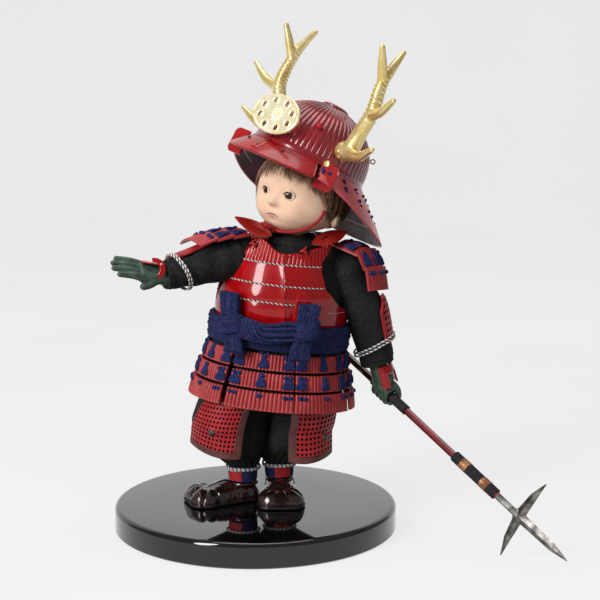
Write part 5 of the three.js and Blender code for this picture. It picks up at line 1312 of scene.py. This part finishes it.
def head():
    form = Form()
    u = circle(260)
    v = np.linspace(HEAD_SECTIONS[0][0], HEAD_SECTIONS[-1][0], 170)
    a, z = np.meshgrid(u, v, indexing="ij")
    skin = head_skin(a, z, 0)
    form.net(skin, 0, True)
    for rim in (skin[:, 0], skin[:, -1]):
        form.net(np.stack([rim, np.broadcast_to(rim.mean(0), rim.shape)]), 0, ring_v=True)
    for way in (-1, 1):
        eye(form, way)
        ear = head_skin(np.array(way * 1.62), np.array(20.2), 0.5)
        form.blob(ear, (2.6, 4.2, 6.2), 0)
        form.blob(ear + (way * 1.6, -0.6, -1), (1.3, 2.6, 4.2), 0)
    mouth = np.linspace(-MOUTH_HALF, MOUTH_HALF, 30)
    droop = -0.06 * np.abs(mouth) ** 1.5
    taper = np.clip(1.12 - np.abs(mouth) / MOUTH_HALF, 0.12, 1)
    upper = MOUTH_Z + 0.75 + droop - 0.25 * np.exp(-mouth ** 2)
    form.tube(on_face(mouth, upper, -0.35), 0.75 * taper, 3, 10)
    form.tube(on_face(mouth * 0.85, MOUTH_Z - 0.9 + droop * 0.6, -0.4), 0.95 * taper, 3, 10)
    form.tube(on_face(mouth, MOUTH_Z - 0.05 + droop, 0.3), 0.17, 4, 6)
    emit("head", form, [SKIN, EYE_WHITE_AND_GLINT, IRIS, LIP, LASH], "skin", NECK, 60)


def eye(form, way):
    x = way * EYE_X
    centre, along, normal = spot_on(on_face, x, EYE_Z, 0, 0.3)
    axes = frame_of(normal, along)
    up = axes[1] if axes[1][2] > 0 else -axes[1]
    form.blob(centre - 0.6 * normal, (3.5, 2.5, 1.5), 1, axes, 12, 24)
    gaze = centre + 0.72 * normal - 0.35 * along
    form.blob(gaze, (2.5, 2.7, 0.62), 2, axes, 10, 24)
    form.blob(gaze + 0.28 * normal, (1.35, 1.5, 0.42), 4, axes, 10, 20)
    # Painted highlight: a small white dot on the iris, up and to one side, stands in for the reflection of
    # a lamp.
    form.blob(gaze + 0.62 * normal - 0.9 * along + 0.95 * up, (0.5, 0.5, 0.2), 1, axes)
    s = np.linspace(-1, 1, 24)
    arch = 1 - s * s
    top = on_face(x + 4.2 * s, EYE_Z + 2.6 * arch ** 0.7 + 0.1, 0.55)
    low = on_face(x + 4.0 * s, EYE_Z - 2.6 * arch ** 0.8, 0.2)
    form.tube(top + 0.7 * up, np.interp(s, (-1, 0, 1), (0.5, 1.1, 0.5)), 0, 10)
    form.tube(top, np.interp(s, (-1, 0, 1), (0.2, 0.42, 0.25)), 4, 8)
    form.tube(low - 0.3 * up, 0.6, 0, 8)
    form.tube(low + 0.25 * up, 0.16, 4, 6)


HAIRLINE = np.array([(0, 44.5), (35, 43), (55, 35.5), (75, 20), (110, 14), (180, 12)], float)
HAIR_COUNT = 2600
HAIR_ROOT = 62
HAIR_LOWEST = 9


def hairline(angle):
    a = np.abs((np.degrees(angle) + 180) % 360 - 180)
    return np.interp(a, HAIRLINE[:, 0], HAIRLINE[:, 1])


def crown_share(z):
    """Share of the hair's thickness that is left where the helmet presses on it."""
    return 1 - 0.8 * ease(z, 53, 58)


def hair():
    def cap(u, v, lift):
        a = 2 * np.pi * u
        z = hairline(a) + 3.5 + (58.8 - hairline(a)) * v
        lock = 0.35 * np.sin(a * 46 + 3 * np.sin(v * 5 + a)) + 0.25 * np.sin(a * 23 - 6 * v)
        rise = lift * (0.35 + 0.65 * ease(v, 0, 0.3)) + lock * (lift > 1)
        return plain_head(a, z, rise * crown_share(z))

    form = Form()
    form.plate(cap, 300, 44, 0.4, 2.1, ring=True)
    form.blob((0, 1, 62.3), (4.8, 5.3, 0.5), 0)
    for _ in range(HAIR_COUNT):
        a = RANDOM.uniform(-np.pi, np.pi)
        front = math.exp(-((a / 1.0) ** 4))
        if front > 0.5 and RANDOM.random() < 0.4:
            continue
        end = a + RANDOM.normal(0, 0.06) + 0.16 * math.copysign(1, a) * front * RANDOM.uniform(0, 1)
        foot = hairline(end) - RANDOM.uniform(-3, 3) * (0.8 + 0.4 * front) - RANDOM.exponential(1.3) * front
        t = shares(9)
        z = HAIR_ROOT + (max(foot, HAIR_LOWEST) - HAIR_ROOT) * t
        angle = a + (end - a) * t ** 1.6 + 0.02 * np.sin(5 * t + a * 9)
        lift = (2.4 + RANDOM.uniform(-0.5, 0.7)) * crown_share(z) - 1.6 * t ** 2 * RANDOM.uniform(0.3, 1)
        form.tube(plain_head(angle, z, lift), np.linspace(0.3, 0.06, 9), int(RANDOM.random() < 0.6), 3)
    emit("hair", form, [HAIR, HAIR_TIP], "hair_brown", NECK, 80)


CHIN_ROUTE = [(-94, 14), (-90, 10.5), (-80, 7.4), (-58, 5.4), (-28, 4.2), (0, 3.8), (20, 4), (42, 5.2),
              (57, 7.6), (62, 11.3), (64, 16.1), (65, 20.5), (66, 24.5)]


def chin_cord():
    heights = [z for _, z in CHIN_ROUTE]
    slack = lambda z: 1.8 + 3.3 * (max(heights) - z) / (max(heights) - min(heights))
    route = [plain_head(np.array(math.radians(a)), np.array(float(z)), slack(z) if a > -40 else 1.6)
             for a, z in CHIN_ROUTE]
    line = line_of(route, 160)
    form = Form()
    form.rope(line, 1.15, (0, 0, 0), 2.3)
    piece = emit("chin_cord", form, [RED_CORD], "cord_red", NECK, 60)
    form = Form()
    knot = line[69]
    ahead = unit(line[71] - line[67])
    for k in range(3):
        form.blob(knot + ahead * (k - 1) * 1.7, (1.9, 1.9, 2.1), 0)
    for drop in (-1.0, 1.2):
        tail = line_of([knot, knot + (drop, -1.6, -0.6), knot + (2.2 * drop, -2.2, -1.4)], 16)
        form.rope(tail, 0.8, (0, 0), 2.2)
    tied = emit("chin_cord", form, [RED_CORD], "cord_red", NECK, 60, "chin_knot.look", False)


# Helmet
BOWL = [(41, 0, 0), (40.7, 0, 10), (38.2, 0, 20), (32, 0, 30), (22, 0, 37.5), (10, 0, 42), (0, 0, 43)]


BOWL_LINE = line_of(BOWL, 200)
BOWL_TOP = 43
BOWL_WALL = 1.6
BOWL_RIBS = 60
BRIM_RADIUS = 41.7


def bowl_at(degrees, z, lift):
    r = np.interp(z, BOWL_LINE[:, 2], BOWL_LINE[:, 0]) + lift
    return oval(np.radians(degrees), r, r, z)


def bowl():
    line = line_of(BOWL, 70)
    out = np.gradient(line, axis=0)
    out = unit(np.stack([out[:, 2], 0 * out[:, 0], -out[:, 0]], -1))
    a = circle(BOWL_RIBS * 10)[:, None]
    fade = ease(line[:, 2], 3.4, 5) * ease(line[:, 0], 9, 13)
    rib = 0.75 * (np.abs(np.sin(a * BOWL_RIBS / 2)) ** 0.5 - 1) * fade
    rim = 0.5 * (1 - ease(line[:, 2], 3.0, 3.6)) + 0.4 * np.exp(-((line[:, 2] - 0.8) / 0.8) ** 2)
    grow = rib + rim
    r = line[:, 0] + grow * out[:, 0]
    z = line[:, 2] + grow * out[:, 2]
    form = Form()
    form.net(oval(a, r, r, z), 0, True)
    inner = np.maximum(line[:, 0] - BOWL_WALL * out[:, 0], 0)
    low = line[:, 2] - BOWL_WALL * out[:, 2]
    low[0] = 0
    a = a[::5]
    form.net(oval(a, inner, inner, low), 1, True)
    lip = [oval(a[:, 0], radius, radius, 0) for radius in (r[0, 0], inner[0])]
    form.net(np.stack(lip), 0, ring_v=True)
    form.tube(oval(circle(120), 41.2, 41.2, 0.6), 0.75, 0, 8, closed=True, across=(0, 0, 1))
    knot = bowl_at(51, 22.5, 0.6)
    away = unit(knot * (1, 1, 0) + (0, 0, 12))
    axes = frame_of(away)
    for t in circle(5):
        petal = 1.5 * (np.cos(t) * axes[0] + np.sin(t) * axes[1])
        form.blob(knot + 0.8 * away + petal, (1.2, 1.2, 1.1), 2)
    form.blob(knot + 1.5 * away, (1.2, 1.2, 1.2), 2)
    hook = bowl_at(141, 21.5, 1.0)
    away = unit(hook * (1, 1, 0))
    t = circle(30)[:, None]
    loop = hook + 1.3 * away + 1.5 * (np.cos(t) * away + np.sin(t) * (0, 0, 1))
    form.tube(loop, 0.45, 0, 7, closed=True, across=np.cross(away, (0, 0, 1)))
    emit("helmet_bowl", form, [HELMET_RED, UNDERSIDE, RED_CORD], "helmet_red", HELMET, 60)


RING_PROFILE = [(3.6, 40.9), (3.6, 44.0), (4.2, 44.3), (5.2, 44.1), (5.6, 43.8), (6.2, 43.8), (6.8, 44.1),
                (8.2, 43.9), (8.7, 43.4), (9.3, 43.3), (10, 42.7), (10, 42.2), (9.6, 41.3), (3.6, 40.9)]


def crown_ring():
    form = Form()
    form.lathe(RING_PROFILE, 0, 64)
    emit("crown_ring", form, [HELMET_RED], "helmet_red", HELMET, 50)


def liner():
    line = line_of(BOWL, 40)
    line = line[line[:, 2] >= 4]
    a = circle(120)[:, None]
    quilt = 0.5 * np.abs(np.sin(a * 6)) ** 0.4 * np.sin(np.pi * line[:, 2] / BOWL_TOP)
    form = Form()
    for inset, way in ((2.1, 0), (4.6, -1)):
        r = np.maximum(line[:, 0] - inset + way * quilt, 0)
        form.net(oval(a, r, r, np.minimum(line[:, 2], BOWL_TOP - inset)), 0, True)
    emit("helmet_liner", form, [BLACK], "cloth_black", HELMET)


PEAK_HALF = math.radians(51.5)
PEAK_REACH = 14.5
PEAK_FALL = 12.6


def peak():
    def face(u, v, lift):
        share = 2 * u - 1
        reach = PEAK_REACH - 3.2 * share ** 2
        radius = BRIM_RADIUS + v * reach
        z = lift - 1.4 - PEAK_FALL * (reach / PEAK_REACH) * v ** 1.3
        return oval(PEAK_HALF * share, radius, radius, z)

    form = Form()
    form.plate(face, 120, 30, 0, 1.4, (0, 1, 0))
    form.rims(face, 0.6, 0.8, 0, 8, 100, (1,))
    form.rims(face, 1.4, 0.7, 0, 8, 100, (0.05,))
    form.rims(face, 0.7, 0.7, 0, 8, 100, (), (0, 1))

    def strip(u, v, lift):
        return face(0.47 + 0.06 * u, 0.05 + 0.8 * v, lift)

    form.plate(strip, 10, 24, 1.3, lambda u, _: 2.3 - 0.5 * np.abs(2 * u - 1) ** 4)
    for u, v in ((0.5, 0.3), (0.5, 0.68), (0.3, 0.45), (0.7, 0.45)):
        centre, _, normal = spot_on(face, u, v, 1.5)
        form.blob(centre + 0.5 * normal, (1.15, 1.15, 0.8), 2, frame_of(normal), 8, 14)
    emit("helmet_peak", form, [PEAK_RED, UNDERSIDE, RIVET], "helmet_red", BRIM)


NECK_GUARD_START = math.radians(55)
NECK_GUARD_FULL = math.radians(130)
NECK_ROW_SPREAD = 9
NECK_ROW_FALL = 9.2
NECK_ROW_LAP = 1.1
NECK_KNOTS = 15
TURNBACK_LENGTH = 15
TURNBACK_FOOT = -15.5
TURNBACK_HEIGHT = 17
TURNBACK_CORNER = 4.0


def neck_guard():
    half = np.pi - NECK_GUARD_START
    form = Form()
    for row in range(3):
        def face(u, v, lift, row=row):
            back = -half + 2 * half * u
            grown = ease(np.pi - np.abs(back), NECK_GUARD_START, NECK_GUARD_FULL)
            first = -0.18 if row else 0.0
            place = (row + first + (1 - first) * v) * (0.36 + 0.64 * grown)
            radius = BRIM_RADIUS + place * NECK_ROW_SPREAD + row * NECK_ROW_LAP + lift
            return oval(np.pi + back, radius, radius, -place * NECK_ROW_FALL)

        form.plate(face, 260, 14, 0, 1.4, (0, 1, 2))
        form.rims(face, 0.7, 0.75, 2 if row < 2 else 0, 7, 200, (1,))
        if row < 2:
            for k in range(NECK_KNOTS):
                knot_pair(form, 3, face, (k + 0.5) / NECK_KNOTS, 0.62)
    for way in (-1, 1):
        turnback(form, way)
    emit("neck_guard", form, [GUARD_RED, UNDERSIDE, HELMET_RED, LACE, PEAK_RED, GOLD], "helmet_red", BRIM)


def knot_pair(form, look, face, u, v):
    for dv in (-0.17, 0.17):
        centre, along, normal = spot_on(face, u, v + dv, 1.5)
        form.blob(centre + 0.35 * normal, (1.5, 1.05, 0.85), look, frame_of(normal, along), 7, 10)


def turnback(form, way):
    sine, cosine = math.sin(NECK_GUARD_START), math.cos(NECK_GUARD_START)
    away = np.array([way * sine, -cosine, 0])
    back = np.array([way * cosine, sine, 0])
    lean = math.radians(40)
    along = away * math.cos(lean) + back * math.sin(lean)
    rear = back * math.cos(lean) - away * math.sin(lean)
    up = np.array([0, 0, 1.0])

    def face(u, v, lift):
        x = TURNBACK_LENGTH * u
        past = np.maximum(x - TURNBACK_LENGTH + TURNBACK_CORNER, 0)
        pull = TURNBACK_CORNER - np.sqrt(np.maximum(TURNBACK_CORNER ** 2 - past ** 2, 0))
        z = TURNBACK_FOOT + pull + (TURNBACK_HEIGHT - 2 * pull) * v
        root = (BRIM_RADIUS + 4) * away
        return root + x[..., None] * along + z[..., None] * up + (lift + 0 * x)[..., None] * rear

    us = np.linspace(0, 0.999, 40)
    form.plate(face, us, 26, 0, 1.4, (1, 4, 4))
    for v in (0, 1):
        form.tube(face(us, 0 * us + v, 0.7), 0.75, 4, 7)
    if way < 0:
        return
    for spot in face(np.array([0.2, 0.2, 0.58, 0.58]), np.array([0.35, 0.72, 0.35, 0.72]), -0.3):
        form.blob(spot, (1.9, 1.35, 0.9), 3, frame_of(rear, along), 7, 10)
    lacing = line_of(face(np.array([0.12, 0.35, 0.62]), np.array([0.8, 0.45, 0.3]), -0.5), 20)
    form.tube(lacing, 0.9, 3, 7)
    disc = face(np.array([0.18]), np.array([1.0]), 0.0)[0]
    form.blob(disc + 0.2 * up, (2.6, 2.2, 0.8), 5, frame_of(rear, along), 8, 18)


ANTLER_BEAM = [(46.6, -4.9, 16), (53, -8.2, 31), (60.3, -12.2, 43), (58.5, -14.6, 66), (58, -12.4, 78),
               (56, -9, 90)]
ANTLER_RADII = (6.2, 5.1, 4.9, 4.3, 3.4, 1.9)
ANTLER_TINES = (([(58.5, -14.6, 65), (60, -22, 74), (62, -30.2, 84)], (3.8, 3.2, 1.9)),
                ([(60.3, -12.2, 42), (75, -16.5, 45), (90, -22, 53.5)], (3.8, 3.2, 1.9)),
                ([(47, -5.4, 15.5), (66, -10, 14), (86, -16.5, 20)], (5, 3.6, 1.9)))
ANTLER_SEAT = oval(math.radians(84), 39.6, 39.6, 15.5)


def antler(side, way):
    flip = np.array([way, 1, 1])
    form = Form()
    beam = line_of(ANTLER_BEAM, 120)
    s = shares(120)
    radius = np.interp(s, shares(6), ANTLER_RADII)
    knurl = 0.34 * np.sin(s * 2 * np.pi * 24) * ease(s, 0.3, 0.4) * (1 - ease(s, 0.7, 0.8))
    form.tube(beam * flip, radius + knurl, 0, 26)
    for points, radii in ANTLER_TINES:
        line = line_of(points, 50)
        form.tube(line * flip, np.interp(shares(50), shares(3), radii), 0, 20)
    form.tube(np.stack([ANTLER_SEAT, ANTLER_BEAM[0]]) * flip, (6.9, 6.6), 0, 26)
    for t in circle(9):
        rim = ANTLER_SEAT + (3.2, -0.4, 0) + 5.4 * np.array([-0.1 * math.cos(t), math.cos(t), math.sin(t)])
        form.blob(rim * flip, (2.0, 2.3, 2.3), 0)
    melted(emit(side + "_antler", form, [GOLD], "gold", HELMET), 0.5, 3)


CREST_FRONT = -4.2
CREST_MIDDLE = 17


def hoop(t, x, z, wide, high):
    """Oval on the face of the crest."""
    return np.stack([x + wide * np.cos(t), CREST_FRONT + 0 * t, z + high * np.sin(t)], -1)


def crest():
    form = Form()
    t = circle(100)
    form.tube(hoop(t, 0, CREST_MIDDLE, 22.2, 13.2), 0.95, 0, 10, closed=True, across=(0, 1, 0))
    for a in circle(8) + np.pi / 8:
        x, _, z = hoop(a, 0, CREST_MIDDLE, 0.68 * 23, 0.68 * 14)
        form.tube(hoop(t[::3], x, z, 2.7, 2.7), 0.75, 0, 8, closed=True, across=(0, 1, 0))
    for a in circle(10):
        axes = np.stack([(math.cos(a), 0, math.sin(a)), (0, 1, 0), (-math.sin(a), 0, math.cos(a))])
        form.blob(hoop(a, 0, CREST_MIDDLE, 4.2, 3.4), (2.6, 0.9, 1.1), 0, axes)
    form.blob((0, CREST_FRONT - 0.3, CREST_MIDDLE), (2.2, 1.3, 1.9), 0)
    emit("front_crest", form, [PALE_GOLD], "gold", CREST, name="crest_trim.look", replace=False)


CAD_LOOKS = {"front_crest": PALE_GOLD, "crest_holder": HELMET_RED, "spear_blade": STEEL, "neck_peg": WOOD,
             "right_foot_peg": WOOD, "left_foot_peg": WOOD, "right_arm_wire": STEEL, "left_arm_wire": STEEL}


def dress_cad_nodes():
    for node, look in CAD_LOOKS.items():
        mesh = frame["nodes"][node].data
        mesh.materials.clear()
        mesh.materials.append(look)


def doll():
    stand()
    patches = {"right": (0.55, 0.72), "left": (0.68, 0.86)}
    knobs = {"right": (0.48, 0.40), "left": (0.76, 0.32)}
    for seed, (side, way) in enumerate(SIDES):
        shoe(side, *FEET[side])
        cuff_place = shift(*FEET[side][0], CUFF_FOOT)
        ankle_cuff(side, cuff_place, patches[side])
        ankle_cord(side, cuff_place)
        trouser(side, 21 + seed)
        thigh_guard(side, knobs[side])
        strap(side, way)
        leaf(side, way)
        sleeve(side, 41 + seed)
        forearm_guard(side)
        wrist_cord(side)
        shoulder_guard(side)
        antler(side, way)
    torso()
    armour(True)
    armour(False)
    sash()
    bow()
    for index, name in enumerate(PANELS):
        skirt_panel(index, name)
    right_hand()
    left_hand()
    right_hand_guard()
    left_hand_guard()
    spear_shaft()
    grip_wrap()
    head_wrap()
    head()
    hair()
    chin_cord()
    bowl()
    crown_ring()
    liner()
    peak()
    neck_guard()
    crest()
    dress_cad_nodes()


# Camera, floor and light
def aim(thing, spot, target):
    thing.location = spot
    thing.rotation_euler = (Vector(target) - Vector(spot)).to_track_quat("-Z", "Y").to_euler()


def camera():
    data = bpy.data.cameras.new("camera")
    data.lens = 94.317
    data.sensor_width = 36
    data.clip_end = 20
    view = placed("camera", data)
    aim(view, (-0.11988, -1.07978, 0.33792), (0.03126, -0.00439, 0.16271))
    bpy.context.scene.camera = view


def paper():
    """Pale paper that the camera and mirrors see evenly lit."""
    look = paint("paper", "5c5c5d 606061 646464", 3, (0.85, 0.95), shine=0.1)
    tree = look.node_tree
    ray = add_node(tree, "LightPath")
    either = add_node(tree, "Math")
    either.operation = "MAXIMUM"
    tree.links.new(ray.outputs["Is Camera Ray"], either.inputs[0])
    tree.links.new(ray.outputs["Is Glossy Ray"], either.inputs[1])
    shader = tree.nodes["Principled BSDF"]
    set_sockets(shader, Emission_Color=(0.76, 0.76, 0.76, 1))
    tree.links.new(either.outputs["Value"], shader.inputs["Emission Strength"])
    return look


def backdrop():
    width, back, radius, high = 6.0, 1.6, 0.9, 3.4
    sweep = [(-3.0, 0.0), (back, 0.0)]
    for k in range(1, 13):
        a = math.pi / 2 * k / 12
        sweep.append((back + radius * math.sin(a), radius * (1 - math.cos(a))))
    sweep.append((back + radius, high))
    points = [(x, y, z) for y, z in sweep for x in (-width / 2, width / 2)]
    faces = [(2 * i, 2 * i + 1, 2 * i + 3, 2 * i + 2) for i in range(len(sweep) - 1)]
    mesh = bpy.data.meshes.new("backdrop")
    mesh.from_pydata(points, [], faces)
    mesh.polygons.foreach_set("use_smooth", [True] * len(faces))
    mesh.materials.append(paper())
    floor = placed("backdrop", mesh)


def soft_box(name, spot, size, power, shine=True):
    data = bpy.data.lights.new(name, "AREA")
    data.shape = "ELLIPSE"
    data.size, data.size_y = size
    data.energy = power
    lamp = placed(name, data)
    lamp.visible_glossy = shine
    aim(lamp, spot, (0.02, 0, 0.18))


def light():
    world = bpy.data.worlds.new("studio")
    world.use_nodes = True
    tree = world.node_tree
    white = (1, 1, 1, 1)
    lit = set_sockets(tree.nodes["Background"], Color=white, Strength=0.28)
    seen = add_node(tree, "Background", Color=white, Strength=0.82)
    ray = add_node(tree, "LightPath")
    choice = add_node(tree, "MixShader")
    tree.links.new(ray.outputs["Is Camera Ray"], choice.inputs["Fac"])
    tree.links.new(lit.outputs["Background"], choice.inputs[1])
    tree.links.new(seen.outputs["Background"], choice.inputs[2])
    tree.links.new(choice.outputs["Shader"], tree.nodes["World Output"].inputs["Surface"])
    bpy.context.scene.world = world
    soft_box("key", (-1.25, -1.1, 0.95), (0.5, 1.6), 34)
    soft_box("top", (0.1, 0.1, 1.7), (1.2, 1.2), 11)
    soft_box("fill", (1.2, -1.0, 0.8), (0.6, 0.9), 3, shine=False)
    bpy.context.scene.view_settings.view_transform = "Standard"


camera()
backdrop()
light()
doll()
bpy.context.view_layer.update()
